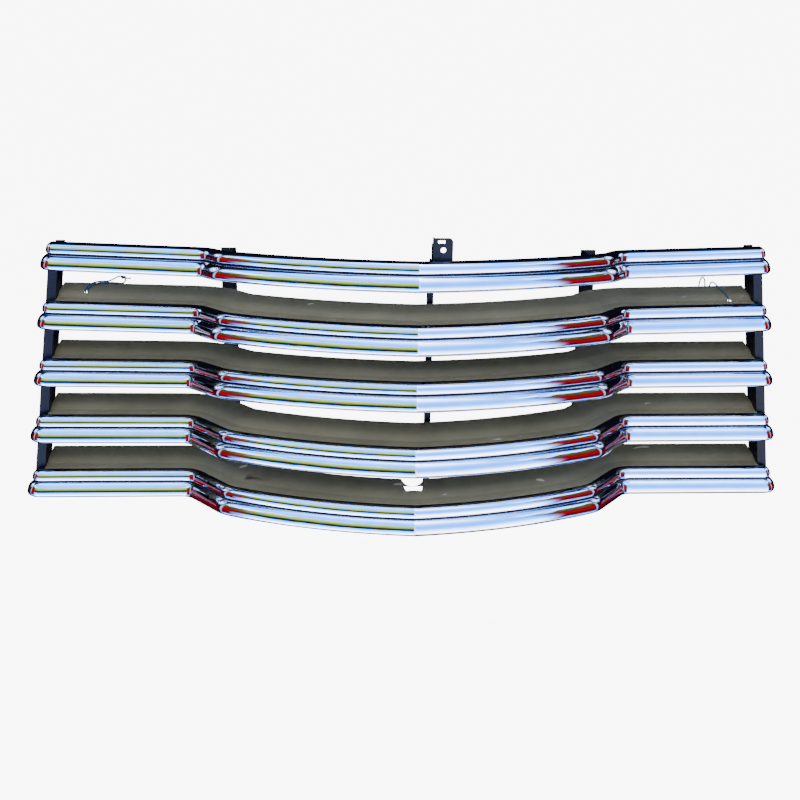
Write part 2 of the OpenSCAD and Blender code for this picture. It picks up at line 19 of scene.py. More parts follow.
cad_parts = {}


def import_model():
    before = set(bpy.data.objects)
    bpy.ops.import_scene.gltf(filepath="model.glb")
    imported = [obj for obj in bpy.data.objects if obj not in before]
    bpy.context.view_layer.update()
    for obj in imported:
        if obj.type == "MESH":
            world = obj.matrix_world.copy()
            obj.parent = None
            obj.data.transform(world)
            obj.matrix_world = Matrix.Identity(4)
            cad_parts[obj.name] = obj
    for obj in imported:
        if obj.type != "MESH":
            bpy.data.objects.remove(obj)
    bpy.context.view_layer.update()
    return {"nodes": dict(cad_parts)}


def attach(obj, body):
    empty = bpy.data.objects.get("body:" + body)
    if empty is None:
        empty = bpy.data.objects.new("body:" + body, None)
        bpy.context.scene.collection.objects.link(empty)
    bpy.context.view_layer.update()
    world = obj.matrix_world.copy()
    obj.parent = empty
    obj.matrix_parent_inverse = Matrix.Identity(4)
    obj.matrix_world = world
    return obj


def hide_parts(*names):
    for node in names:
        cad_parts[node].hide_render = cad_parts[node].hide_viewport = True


LOG = logging.getLogger("grille")
MM = 0.001
ROOT = "root"

Point2 = tuple[float, float]
Point3 = tuple[float, float, float]
Stops = tuple[tuple[float, str], ...]


# --------------------------------------------------------------------------- small helpers


def linear(code: str, alpha: float = 1.0) -> tuple[float, float, float, float]:
    """Turns an sRGB hex colour into the linear colour that shaders want.

    Args:
        code: six hex digits, with or without a leading hash.
        alpha: the fourth channel.

    Returns:
        Red, green, blue and alpha, linear.
    """
    digits = code.lstrip("#")
    values = [int(digits[i : i + 2], 16) / 255 for i in (0, 2, 4)]
    bent = [v / 12.92 if v <= 0.04045 else ((v + 0.055) / 1.055) ** 2.4 for v in values]
    return (*bent, alpha)


def add_node(
    tree: bpy.types.NodeTree, kind: str, links: dict | None = None, **settings: object
) -> bpy.types.Node:
    """Adds a node, sets its properties and its colour stops, and feeds its inputs.

    Args:
        tree: the node tree to add to.
        kind: the node's type name.
        links: input name or index to the output socket, or the number, that feeds it.
        **settings: properties of the node.  One called `values` is input name or index to
            value, and one called `stops` is a Color Ramp's positions and hex colours.

    Returns:
        The new node.
    """
    node = tree.nodes.new(kind)
    values = settings.pop("values", {})
    stops = settings.pop("stops", ())
    for name, value in settings.items():
        setattr(node, name, value)
    for name, value in values.items():
        node.inputs[name].default_value = value
    for name, source in (links or {}).items():
        if isinstance(source, bpy.types.NodeSocket):
            tree.links.new(source, node.inputs[name])
        else:
            node.inputs[name].default_value = source
    if stops:
        elements = node.color_ramp.elements
        while len(elements) > 1:
            elements.remove(elements[-1])
        elements[0].position = stops[0][0]
        elements[0].color = linear(stops[0][1])
        for position, code in stops[1:]:
            elements.new(position).color = linear(code)
    return node


def mesh_object(name: str, points: np.ndarray, faces: list[tuple[int, ...]]) -> bpy.types.Object:
    """Makes a mesh object at the origin from points and faces.

    Args:
        name: the object's name.
        points: one row of x, y, z for each point, in metres.
        faces: point indices of each face.

    Returns:
        The new object, linked to the scene.
    """
    mesh = bpy.data.meshes.new(name)
    mesh.from_pydata(np.asarray(points).tolist(), [], faces)
    mesh.update()
    piece = bpy.data.objects.new(name, mesh)
    bpy.context.scene.collection.objects.link(piece)
    return piece


def weld_and_shade(piece: bpy.types.Object, distance: float, sharp_degrees: float) -> None:
    """Merges doubled points, turns faces outwards and shades smooth except at sharp edges.

    Args:
        piece: the mesh object.
        distance: points nearer than this are merged, in metres.
        sharp_degrees: edges that turn more than this stay sharp.
    """
    work = bmesh.new()
    work.from_mesh(piece.data)
    bmesh.ops.remove_doubles(work, verts=work.verts, dist=distance)
    bmesh.ops.dissolve_degenerate(work, edges=work.edges, dist=distance * 0.1)
    bmesh.ops.recalc_face_normals(work, faces=work.faces)
    work.to_mesh(piece.data)
    work.free()
    piece.data.shade_smooth()
    piece.data.set_sharp_from_angle(angle=math.radians(sharp_degrees))


def dress(piece: bpy.types.Object, material: bpy.types.Material) -> None:
    """Gives a piece one material."""
    piece.data.materials.clear()
    piece.data.materials.append(material)


# --------------------------------------------------------------------------- finishes


class Slot(Enum):
    """The record's material slots."""

    CHROME = "chrome"
    PANEL = "panel_paint"
    BLACK = "black_paint"
    ZINC = "zinc"
    TWINE = "twine"


@dataclass(frozen=True)
class Finish:
    """What every finish shares: a new material with its shader and Object coordinates."""

    name: str

    def start(
        self,
    ) -> tuple[bpy.types.Material, bpy.types.NodeTree, bpy.types.Node, bpy.types.Node]:
        """Makes an empty node material.

        Returns:
            The material, its tree, its Principled shader and its coordinate node.
        """
        material = bpy.data.materials.new(self.name)
        material.use_nodes = True
        tree = material.node_tree
        shader = next(n for n in tree.nodes if n.type == "BSDF_PRINCIPLED")
        place = add_node(tree, "ShaderNodeTexCoord")
        return material, tree, shader, place


@dataclass(frozen=True)
class ChromePlate(Finish):
    """Bright nickel-chrome plate on pressed steel, polished by hand before plating.

    The polish leaves the sheet slightly wavy, which bends the reflections along a bar, and
    the plate has a faint haze where it has been wiped.  A dark line of painted shade runs
    along the groove, and the back of the sheet is darker and duller.
    """

    tint: str = "#e9ebf0"
    haze: str = "#d9dbe2"
    # painted shade: the dark colour laid along each bar's groove, which also darkens the back of
    # the sheet
    groove_shade_and_back: str = "#16121c"
    roughness: float = 0.025
    wave_length: float = 0.11
    wave_height: float = 0.0008
    wave_stretch: Point3 = (0.55, 1.0, 1.5)
    haze_size: float = 0.03
    haze_dulling: float = 2.2
    groove_shade_and_back_dulling: float = 0.35

    def material(self) -> bpy.types.Material:
        """Builds the chrome material."""
        material, tree, shader, place = self.start()
        shader.inputs["Metallic"].default_value = 1.0
        wiped = add_node(
            tree,
            "ShaderNodeTexNoise",
            {"Vector": place.outputs["Object"]},
            values={"Scale": 1 / self.haze_size, "Detail": 3.0, "Roughness": 0.6},
        )
        tone = add_node(
            tree,
            "ShaderNodeValToRGB",
            {"Fac": wiped.outputs["Fac"]},
            stops=[(0.3, self.haze), (0.7, self.tint)],
        )
        # painted shade: darkens and dulls the chrome along the groove, and the back of the sheet
        # less so
        groove_shade_and_back = add_node(tree, "ShaderNodeAttribute", attribute_name="groove_shade_and_dull_back")
        shaded = add_node(
            tree,
            "ShaderNodeMix",
            {0: groove_shade_and_back.outputs["Fac"], 6: tone.outputs["Color"]},
            data_type="RGBA",
            values={7: linear(self.groove_shade_and_back)},
        )
        tree.links.new(shaded.outputs[2], shader.inputs["Base Color"])
        gloss = add_node(
            tree,
            "ShaderNodeMapRange",
            {"Value": wiped.outputs["Fac"]},
            values={"To Min": self.roughness, "To Max": self.roughness * self.haze_dulling},
        )
        dull = add_node(
            tree,
            "ShaderNodeMath",
            {0: groove_shade_and_back.outputs["Fac"], 2: gloss.outputs["Result"]},
            operation="MULTIPLY_ADD",
            values={1: self.groove_shade_and_back_dulling},
        )
        tree.links.new(dull.outputs["Value"], shader.inputs["Roughness"])
        stretch = add_node(
            tree,
            "ShaderNodeMapping",
            {"Vector": place.outputs["Object"]},
            values={"Scale": self.wave_stretch},
        )
        waves = add_node(
            tree,
            "ShaderNodeTexNoise",
            {"Vector": stretch.outputs["Vector"]},
            values={"Scale": 1 / self.wave_length, "Detail": 1.5, "Roughness": 0.45},
        )
        bump = add_node(
            tree,
            "ShaderNodeBump",
            {"Height": waves.outputs["Fac"]},
            values={"Strength": 1.0, "Distance": self.wave_height},
        )
        tree.links.new(bump.outputs["Normal"], shader.inputs["Normal"])
        return material


@dataclass(frozen=True)
class ShelfEnamel(Finish):
    """Old grey-olive enamel, brushed and gone satin, a little darker where dust has settled."""

    light: str = "#95957f"
    dark: str = "#80806c"
    # pale dashes laid at random over the enamel, in stretched noise
    pale_dash: str = "#dcdad0"
    patch_size: float = 0.16
    dashes_per_metre: Point3 = (14.0, 40.0, 60.0)
    dash_edge: Point2 = (0.735, 0.75)
    orange_peel: float = 0.0035
    peel_height: float = 0.00006
    roughness: float = 0.42
    specular: float = 0.12

    def material(self) -> bpy.types.Material:
        """Builds the enamel material."""
        material, tree, shader, place = self.start()
        patches = add_node(
            tree,
            "ShaderNodeTexNoise",
            {"Vector": place.outputs["Object"]},
            values={"Scale": 1 / self.patch_size, "Detail": 5.0, "Roughness": 0.55},
        )
        tone = add_node(
            tree,
            "ShaderNodeValToRGB",
            {"Fac": patches.outputs["Fac"]},
            stops=[(0.32, self.dark), (0.68, self.light)],
        )
        drawn = add_node(
            tree,
            "ShaderNodeMapping",
            {"Vector": place.outputs["Object"]},
            values={"Scale": self.dashes_per_metre},
        )
        marks = add_node(
            tree,
            "ShaderNodeTexNoise",
            {"Vector": drawn.outputs["Vector"]},
            values={"Scale": 1.0, "Detail": 2.0, "Roughness": 0.4},
        )
        dashes = add_node(
            tree,
            "ShaderNodeMapRange",
            {"Value": marks.outputs["Fac"]},
            values={"From Min": self.dash_edge[0], "From Max": self.dash_edge[1]},
        )
        dashed = add_node(
            tree,
            "ShaderNodeMix",
            {0: dashes.outputs["Result"], 6: tone.outputs["Color"]},
            data_type="RGBA",
            values={7: linear(self.pale_dash)},
        )
        tree.links.new(dashed.outputs[2], shader.inputs["Base Color"])
        shader.inputs["Roughness"].default_value = self.roughness
        shader.inputs["Specular IOR Level"].default_value = self.specular
        peel = add_node(
            tree,
            "ShaderNodeTexNoise",
            {"Vector": place.outputs["Object"]},
            values={"Scale": 1 / self.orange_peel, "Detail": 2.0},
        )
        bump = add_node(
            tree,
            "ShaderNodeBump",
            {"Height": peel.outputs["Fac"]},
            values={"Strength": 0.25, "Distance": self.peel_height},
        )
        tree.links.new(bump.outputs["Normal"], shader.inputs["Normal"])
        return material


@dataclass(frozen=True)
class BlackEnamel(Finish):
    """Semi-gloss black chassis enamel over steel plate, with a faint purple-brown age."""

    base: str = "#131117"
    worn: str = "#241f2a"
    wear_size: float = 0.025
    wear_depth: float = 0.0002
    specular: float = 0.12
    gloss: Point2 = (0.3, 0.5)

    def material(self) -> bpy.types.Material:
        """Builds the black enamel material."""
        material, tree, shader, place = self.start()
        wear = add_node(
            tree,
            "ShaderNodeTexNoise",
            {"Vector": place.outputs["Object"]},
            values={"Scale": 1 / self.wear_size, "Detail": 6.0, "Roughness": 0.65},
        )
        tone = add_node(
            tree,
            "ShaderNodeValToRGB",
            {"Fac": wear.outputs["Fac"]},
            stops=[(0.45, self.base), (0.75, self.worn)],
        )
        tree.links.new(tone.outputs["Color"], shader.inputs["Base Color"])
        shader.inputs["Specular IOR Level"].default_value = self.specular
        gloss = add_node(
            tree,
            "ShaderNodeMapRange",
            {"Value": wear.outputs["Fac"]},
            values={"To Min": self.gloss[0], "To Max": self.gloss[1]},
        )
        tree.links.new(gloss.outputs["Result"], shader.inputs["Roughness"])
        bump = add_node(
            tree,
            "ShaderNodeBump",
            {"Height": wear.outputs["Fac"]},
            values={"Strength": 0.3, "Distance": self.wear_depth},
        )
        tree.links.new(bump.outputs["Normal"], shader.inputs["Normal"])
        return material


@dataclass(frozen=True)
class ZincPlate(Finish):
    """Zinc-plated steel fasteners: dull silver with a slight straw cast and fine grain."""

    bright: str = "#b9b8b2"
    dull: str = "#8f8c7f"
    grain: float = 0.004
    gloss: Point2 = (0.28, 0.45)

    def material(self) -> bpy.types.Material:
        """Builds the zinc material."""
        material, tree, shader, place = self.start()
        shader.inputs["Metallic"].default_value = 1.0
        crystals = add_node(
            tree,
            "ShaderNodeTexNoise",
            {"Vector": place.outputs["Object"]},
            values={"Scale": 1 / self.grain, "Detail": 4.0},
        )
        tone = add_node(
            tree,
            "ShaderNodeValToRGB",
            {"Fac": crystals.outputs["Fac"]},
            stops=[(0.35, self.dull), (0.65, self.bright)],
        )
        tree.links.new(tone.outputs["Color"], shader.inputs["Base Color"])
        gloss = add_node(
            tree,
            "ShaderNodeMapRange",
            {"Value": crystals.outputs["Fac"]},
            values={"To Min": self.gloss[0], "To Max": self.gloss[1]},
        )
        tree.links.new(gloss.outputs["Result"], shader.inputs["Roughness"])
        return material


@dataclass(frozen=True)
class BalerTwine(Finish):
    """Split-film polypropylene twine, dyed blue: a fibrous thread with a waxy shine."""

    light: str = "#2f6f96"
    dark: str = "#0e2c48"
    fibres_per_metre: float = 900.0  # coarser than the real ones, which wouldn't show
    fibre_height: float = 0.0003
    roughness: float = 0.45
    sheen: float = 0.2

    def material(self) -> bpy.types.Material:
        """Builds the twine material."""
        material, tree, shader, place = self.start()
        fibres = add_node(
            tree,
            "ShaderNodeTexNoise",
            {"Vector": place.outputs["Object"]},
            values={"Scale": self.fibres_per_metre, "Detail": 3.0, "Roughness": 0.7},
        )
        tone = add_node(
            tree,
            "ShaderNodeValToRGB",
            {"Fac": fibres.outputs["Fac"]},
            stops=[(0.3, self.dark), (0.7, self.light)],
        )
        tree.links.new(tone.outputs["Color"], shader.inputs["Base Color"])
        shader.inputs["Roughness"].default_value = self.roughness
        shader.inputs["Sheen Weight"].default_value = self.sheen
        bump = add_node(
            tree,
            "ShaderNodeBump",
            {"Height": fibres.outputs["Fac"]},
            values={"Strength": 0.5, "Distance": self.fibre_height},
        )
        tree.links.new(bump.outputs["Normal"], shader.inputs["Normal"])
        return material


@dataclass(frozen=True)
class StudioFloor(Finish):
    """Plain pale studio floor, matt, with a glow of its own that keeps it nearly white."""

    tone: str = "#f4f4f6"
    glow: float = 9.0
    roughness: float = 0.9
    specular: float = 0.1

    def material(self) -> bpy.types.Material:
        """Builds the floor material."""
        material, _, shader, _ = self.start()
        shader.inputs["Base Color"].default_value = linear(self.tone)
        shader.inputs["Roughness"].default_value = self.roughness
        shader.inputs["Specular IOR Level"].default_value = self.specular
        shader.inputs["Emission Color"].default_value = linear(self.tone)
        shader.inputs["Emission Strength"].default_value = self.glow
        return material


@dataclass(frozen=True)
class TentSector:
    """One sector of the light tent: the azimuths it spans and its colours up its height."""

    start: float
    end: float
    stops: Stops
    soft: float = 4.0
    ragged: float = 2.0
    detail: float = 9.0


@dataclass(frozen=True)
class LightTent(Finish):
    """The tent's cloth: pale below, blue-white above, with dark and coloured panels between.

    Azimuth is 0 in front and 90 to the right, and elevation 0 level with the grille.  Each
    sector's colours are laid over the one before.
    """

    centre: Point3 = (0.0, 0.05, 0.25)
    strength: float = 1.0
    sectors: tuple[TentSector, ...] = ()
    flatten: float = 2.6  # clumps of the ragged edge are this much wider than high

    def material(self) -> bpy.types.Material:
        """Builds the tent's emission from the direction in which each point lies."""
        material, tree, shader, place = self.start()
        aim = add_node(
            tree,
            "ShaderNodeVectorMath",
            {0: place.outputs["Object"]},
            operation="SUBTRACT",
            values={1: self.centre},
        )
        unit = add_node(
            tree, "ShaderNodeVectorMath", {0: aim.outputs["Vector"]}, operation="NORMALIZE"
        )
        axes = add_node(tree, "ShaderNodeSeparateXYZ", {"Vector": unit.outputs["Vector"]})
        front = add_node(
            tree, "ShaderNodeMath", {0: axes.outputs["Y"], 1: -1.0}, operation="MULTIPLY"
        )
        round_about = add_node(
            tree,
            "ShaderNodeMath",
            {0: axes.outputs["X"], 1: front.outputs["Value"]},
            operation="ARCTAN2",
        )
        rise = add_node(tree, "ShaderNodeMath", {0: axes.outputs["Z"]}, operation="ARCSINE")
        azimuth, elevation = (
            add_node(tree, "ShaderNodeMath", {0: angle.outputs["Value"]}, operation="DEGREES")
            for angle in (round_about, rise)
        )
        colour = None
        for sector in self.sectors:
            tone = self.graded(tree, unit, elevation, sector)
            if colour is None:
                colour = tone
                continue
            width = (sector.end - sector.start) / 2
            middle = add_node(
                tree,
                "ShaderNodeMath",
                {0: azimuth.outputs["Value"], 1: sector.start + width},
                operation="SUBTRACT",
            )
            away = add_node(
                tree, "ShaderNodeMath", {0: middle.outputs["Value"]}, operation="ABSOLUTE"
            )
            share = add_node(
                tree,
                "ShaderNodeMapRange",
                {"Value": away.outputs["Value"]},
                interpolation_type="SMOOTHSTEP",
                values={
                    "From Min": width - sector.soft,
                    "From Max": width + sector.soft,
                    "To Min": 1.0,
                    "To Max": 0.0,
                },
            )
            mix = add_node(
                tree,
                "ShaderNodeMix",
                {0: share.outputs["Result"], 6: colour, 7: tone},
                data_type="RGBA",
            )
            colour = mix.outputs[2]
        glow = add_node(
            tree, "ShaderNodeEmission", {"Color": colour}, values={"Strength": self.strength}
        )
        out = next(n for n in tree.nodes if n.type == "OUTPUT_MATERIAL")
        tree.links.new(glow.outputs["Emission"], out.inputs["Surface"])
        tree.nodes.remove(shader)
        return material

    def graded(
        self,
        tree: bpy.types.NodeTree,
        unit: bpy.types.Node,
        elevation: bpy.types.Node,
        sector: TentSector,
    ) -> bpy.types.NodeSocket:
        """Grades a sector's colours by elevation, with a ragged edge like a hedge's.

        Args:
            tree: the tent's node tree.
            unit: the node that gives the direction.
            elevation: the node that gives its elevation in degrees.
            sector: the sector's settings.

        Returns:
            The colour output.
        """
        flat = add_node(
            tree,
            "ShaderNodeMapping",
            {"Vector": unit.outputs["Vector"]},
            values={"Scale": (1.0, 1.0, self.flatten)},
        )
        noise = add_node(
            tree,
            "ShaderNodeTexNoise",
            {"Vector": flat.outputs["Vector"]},
            values={"Scale": sector.detail, "Detail": 5.0, "Roughness": 0.62},
        )
        centred = add_node(
            tree, "ShaderNodeMath", {0: noise.outputs["Fac"], 1: 0.5}, operation="SUBTRACT"
        )
        wander = add_node(
            tree,
            "ShaderNodeMath",
            {0: centred.outputs["Value"], 1: sector.ragged * 4},
            operation="MULTIPLY",
        )
        height = add_node(
            tree,
            "ShaderNodeMath",
            {0: elevation.outputs["Value"], 1: wander.outputs["Value"]},
            operation="ADD",
        )
        share = add_node(
            tree,
            "ShaderNodeMapRange",
            {"Value": height.outputs["Value"]},
            values={"From Min": -90.0, "From Max": 90.0},
        )
        tone = add_node(
            tree,
            "ShaderNodeValToRGB",
            {"Fac": share.outputs["Result"]},
            stops=[((degrees + 90) / 180, code) for degrees, code in sector.stops],
        )
        return tone.outputs["Color"]


# --------------------------------------------------------------------------- plan and sections


@dataclass
class GrillePlan:
    """The plan curve that bars and panels share, in millimetres, with y = 0 at the bar tips."""

    bottom_half: float = 720.0
    pitch: float = 107.0
    length_step: float = 14.0
    nose_depth: float = 196.0
    crease: float = 6.0
    bow_end: float = 27.0
    bow_half: float = 316.0
    bend_angle: float = 52.0
    bend_r: float = 55.0
    top_sweep: float = 12.0
    third_lift: float = 2.6
    cap_r: float = 28.8
    crease_r: float = 30.0
    bars: int = 5
    shift_y: float = 74.008
    cap_steps: int = 24
    wing_steps: int = 40
    bend_steps: int = 26
    straight_steps: int = 6
    entry_steps: int = 18
    bow_steps: int = 60
    fold_steps: int = 8

    @property
    def bow_r(self) -> float:
        """Radius of the bow."""
        return self.bow_half / (self.sin(self.bow_end) - self.sin(self.crease))

    @staticmethod
    def sin(degrees: float) -> float:
        """Sine of an angle in degrees."""
        return math.sin(math.radians(degrees))

    @staticmethod
    def cos(degrees: float) -> float:
        """Cosine of an angle in degrees."""
        return math.cos(math.radians(degrees))

    def half(self, k: int) -> float:
        """Half the length of bar k."""
        return self.bottom_half - self.length_step * (self.bars - 1 - k)

    def height(self, k: int) -> float:
        """Height of bar k's underside."""
        return self.pitch * (self.bars - 1 - k)

    def sweep(self, k: int) -> float:
        """Sweep of bar k's wings, in degrees."""
        return self.top_sweep * ((self.bars - 1 - k) / (self.bars - 1)) ** 2

    def lift(self, k: int) -> float:
        """Tip of bar k's nose, in degrees."""
        return self.third_lift if k == 2 else 0.0

    def left_half(self, k: int) -> list[Point3]:
        """The left half of bar k's back line, from its tip to the centre.

        Args:
            k: the bar's index, 0 at the top.

        Returns:
            x, y and heading of each station; the first ones turn the cap about the tip.
        """
        s, end, bend = self.sweep(k), self.bow_end, self.bend_angle
        r = self.bend_r
        drop = self.bow_r * (self.cos(self.crease) - self.cos(end))
        dy = r * (self.cos(s) - self.cos(bend)) + r * (self.cos(end) - self.cos(bend))
        dx = r * (self.sin(bend) - self.sin(s)) + r * (self.sin(bend) - self.sin(end))
        wing_x = self.half(k) - self.cap_r
        tan_s = math.tan(math.radians(s))
        straight = (self.nose_depth - drop - dy - (wing_x - self.bow_half - dx) * tan_s) / (
            self.sin(bend) - self.cos(bend) * tan_s
        )
        wing = (wing_x - self.bow_half - dx - straight * self.cos(bend)) / self.cos(s)
        x, y = -wing_x, 0.0
        stations = [(x, y, s + turn) for turn in np.linspace(90, 0, self.cap_steps + 1)]
        x, y = self.run(stations, x, y, s, wing, self.wing_steps)
        x, y = self.turn(stations, x, y, s, bend, r, self.bend_steps)
        x, y = self.run(stations, x, y, bend, straight, self.straight_steps)
        x, y = self.turn(stations, x, y, bend, end, r, self.entry_steps)
        self.turn(stations, x, y, end, self.crease, self.bow_r, self.bow_steps)
        return stations

    def run(
        self, stations: list[Point3], x: float, y: float, heading: float, length: float, n: int
    ) -> Point2:
        """Adds a straight run.

        Args:
            stations: the list that the run's stations are added to.
            x: where the run starts.
            y: where the run starts.
            heading: its heading, degrees.
            length: its length.
            n: number of steps.

        Returns:
            x and y at the run's end.
        """
        for _ in range(n):
            x += length / n * self.cos(heading)
            y -= length / n * self.sin(heading)
            stations.append((x, y, heading))
        return x, y

    def turn(
        self, stations: list[Point3], x: float, y: float, a: float, b: float, r: float, n: int
    ) -> Point2:
        """Adds an arc that turns the heading from a to b.

        Args:
            stations: the list that the arc's stations are added to.
            x: where the arc starts.
            y: where the arc starts.
            a: heading at the start, degrees.
            b: heading at the end, degrees.
            r: radius.
            n: number of steps.

        Returns:
            x and y at the arc's end.
        """
        side = 1 if b > a else -1
        for i in range(1, n + 1):
            h = a + (b - a) * i / n
            px = x + side * r * (self.sin(h) - self.sin(a))
            py = y + side * r * (self.cos(h) - self.cos(a))
            stations.append((px, py, h))
        return stations[-1][0], stations[-1][1]

    def stations(self, k: int) -> list[Point3]:
        """Joins both halves of a bar, with the crease eased into one soft fold.

        Args:
            k: the bar's index, 0 at the top.

        Returns:
            x, y and heading of each station, from the left tip to the right tip.
        """
        left = self.left_half(k)
        right = [(-x, y, -h) for x, y, h in reversed(left[:-1])]
        ease = self.crease_r * self.sin(self.crease)
        kept = [s for s in left if s[0] < -ease]
        fold = []
        nose = left[-1]
        for share in np.linspace(-1, 1, self.fold_steps + 1):
            h = -self.crease * share
            px = ease * share
            base = nose[1] + abs(px) * math.tan(math.radians(self.crease))
            round_off = ease * math.tan(math.radians(self.crease)) * 0.5 * (1 - abs(share)) ** 2
            fold.append((px, base + round_off, h))
        return kept + fold + [s for s in right if s[0] > ease]


def arc(centre: Point2, r: float, a: float, b: float, n: int) -> list[Point2]:
    """Points on an arc.

    Args:
        centre: the arc's centre.
        r: radius.
        a: first angle, degrees.
        b: last angle, degrees.
        n: number of steps.

    Returns:
        n + 1 points.
    """
    angles = np.radians(np.linspace(a, b, n + 1))
    return [(centre[0] + r * math.cos(t), centre[1] + r * math.sin(t)) for t in angles]


def polar(centre: Point2, r: float, a: float) -> Point2:
    """The point at distance r and angle a, in degrees, from a centre."""
    return arc(centre, r, a, a, 1)[0]


@dataclass
class BarSection:
    """The pressed section of a bar: x in front of its back, z up, in millimetres."""

    sheet: float = 1.5
    lower_front: float = 28.8
    lower_r: float = 24.0
    upper_r: float = 15.5
    upper_face: float = 2.0
    corner_r: float = 6.0
    notch: float = 62.0
    under: float = -65.0
    groove_r: float = 1.3
    nose_r: float = 2.4
    hem_r: float = 2.0
    hem_h: float = 6.0

    def face(self, t: float) -> list[Point2]:
        """Draws one face of the sheet, from the top lip to the bottom lip.

        Args:
            t: how far the face lies in from the outside.

        Returns:
            The face's points.
        """
        lower = (self.lower_front - self.lower_r, self.corner_r)
        corner = (self.lower_front - self.corner_r, self.corner_r)
        groove = polar(lower, self.lower_r + self.groove_r, self.notch)
        nose = polar(groove, -(self.groove_r + self.nose_r), self.under)
        upper = (nose[0] + self.nose_r - self.upper_r, nose[1] + self.upper_face)
        top = upper[1] + self.upper_r
        return (
            [(t, top - self.hem_r - self.hem_h)]
            + arc((self.hem_r, top - self.hem_r), self.hem_r - t, 180, 90, 5)
            + arc(upper, self.upper_r - t, 90, 0, 18)
            + arc(nose, self.nose_r - t, 0, self.under, 8)
            + arc(groove, self.groove_r + t, self.under + 180, self.notch + 180, 10)
            + arc(lower, self.lower_r - t, self.notch, 0, 16)
            + arc(corner, self.corner_r - t, 0, -90, 10)
            + arc((self.hem_r, self.hem_r), self.hem_r - t, -90, -180, 5)
            + [(t, self.hem_r + self.hem_h)]
        )


# --------------------------------------------------------------------------- sub-assemblies


@dataclass
class ChromeBars:
    """The five pressed and plated bars, each swept along its own plan line."""

    plan: GrillePlan
    section: BarSection = field(default_factory=BarSection)
    names: tuple[str, ...] = ("top_bar", "second_bar", "third_bar", "fourth_bar", "bottom_bar")
    groove_reach: float = 2.7
    dull_back_share: float = 0.55
    weld: float = 2e-6
    sharp: float = 40.0

    def build(self, finish: ChromePlate) -> list[bpy.types.Object]:
        """Builds, plates and mounts all the bars.

        Args:
            finish: the plating.

        Returns:
            The new pieces.
        """
        material = finish.material()
        pieces = []
        for k, node in enumerate(self.names):
            piece = self.bar(k, node + "_pressing")
            dress(piece, material)
            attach(piece, ROOT)
            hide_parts(node)
            pieces.append(piece)
        return pieces

    def bar(self, k: int, name: str) -> bpy.types.Object:
        """Sweeps one bar.

        Args:
            k: the bar's index, 0 at the top.
            name: name of the piece.

        Returns:
            The bar's mesh object.
        """
        outer, inner = self.section.face(0.0), self.section.face(self.section.sheet)
        loop = outer + inner[::-1]
        stations = self.plan.stations(k)
        tilt = math.radians(self.plan.lift(k))
        ahead, above = self.plan.shift_y, self.plan.height(k)
        points = []
        for x, y, heading in stations:
            a = math.radians(heading)
            for out, z in loop:
                px, py = x - out * math.sin(a), y - out * math.cos(a)
                qy = py * math.cos(tilt) + z * math.sin(tilt)
                qz = -py * math.sin(tilt) + z * math.cos(tilt)
                points.append((px * MM, (qy + ahead) * MM, (qz + above) * MM))
        count, size = len(stations), len(loop)
        faces = []
        for i in range(count - 1):
            for j in range(size):
                m = (j + 1) % size
                faces.append((i * size + j, i * size + m, (i + 1) * size + m, (i + 1) * size + j))
        for end in (0, (count - 1) * size):
            for j in range(len(outer) - 1):
                faces.append((end + j, end + size - 1 - j, end + size - 2 - j, end + j + 1))
        piece = mesh_object(name, np.array(points), faces)
        # painted shade along the groove, and the dull back of the sheet, kept on each point for the
        # chrome
        marks = piece.data.attributes.new("groove_shade_and_dull_back", "FLOAT", "POINT")
        marks.data.foreach_set("value", np.tile(self.groove_shade_and_dull_back(outer, inner), count).astype(np.float32))
        weld_and_shade(piece, self.weld, self.sharp)
        return piece

    def groove_shade_and_dull_back(self, outer: list[Point2], inner: list[Point2]) -> np.ndarray:
        """Says how far each point of the section is darkened and dulled, from 0 to 1: painted shade
        in a dark line along the groove, and a steady share for the duller back of the sheet.

        Args:
            outer: the section's outside, from the top lip to the bottom lip.
            inner: its inside.

        Returns:
            One value for each point of the closed section.
        """
        lower = (self.section.lower_front - self.section.lower_r, self.section.corner_r)
        groove = polar(lower, self.section.lower_r + self.section.groove_r, self.section.notch)
        away = np.array([math.dist(point, groove) for point in outer])
        fade = self.groove_reach - self.section.groove_r
        near = np.clip((self.groove_reach - away) / fade, 0, 1)
        return np.concatenate([near, np.full(len(inner), self.dull_back_share)])


@dataclass
class ShelfPanels:
    """The four painted shelf panels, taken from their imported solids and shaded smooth."""

    names: tuple[str, ...] = ("top_panel", "second_panel", "third_panel", "lower_panel")
    weld: float = 4e-5
    sharp: float = 38.0

    def build(
        self, finish: ShelfEnamel, nodes: dict[str, bpy.types.Object]
    ) -> list[bpy.types.Object]:
        """Copies, welds and paints the panels.

        Args:
            finish: the paint.
            nodes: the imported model's nodes.

        Returns:
            The new pieces.
        """
        material = finish.material()
        pieces = []
        for node in self.names:
            mesh = nodes[node].data.copy()
            mesh.name = node + "_shelf"
            piece = bpy.data.objects.new(node + "_shelf", mesh)
            bpy.context.scene.collection.objects.link(piece)
            self.smooth(piece)
            dress(piece, material)
            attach(piece, ROOT)
            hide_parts(node)
            pieces.append(piece)
        return pieces

    def smooth(self, piece: bpy.types.Object) -> None:
        """Closes the hairlines at the bend lines and shades the pressing smooth.

        Args:
            piece: the panel.
        """
        work = bmesh.new()
        work.from_mesh(piece.data)
        bmesh.ops.remove_doubles(work, verts=work.verts, dist=self.weld)
        work.to_mesh(piece.data)
        work.free()
        if "custom_normal" in piece.data.attributes:
            piece.data.attributes.remove(piece.data.attributes["custom_normal"])
        piece.data.shade_smooth()
        piece.data.set_sharp_from_angle(angle=math.radians(self.sharp))


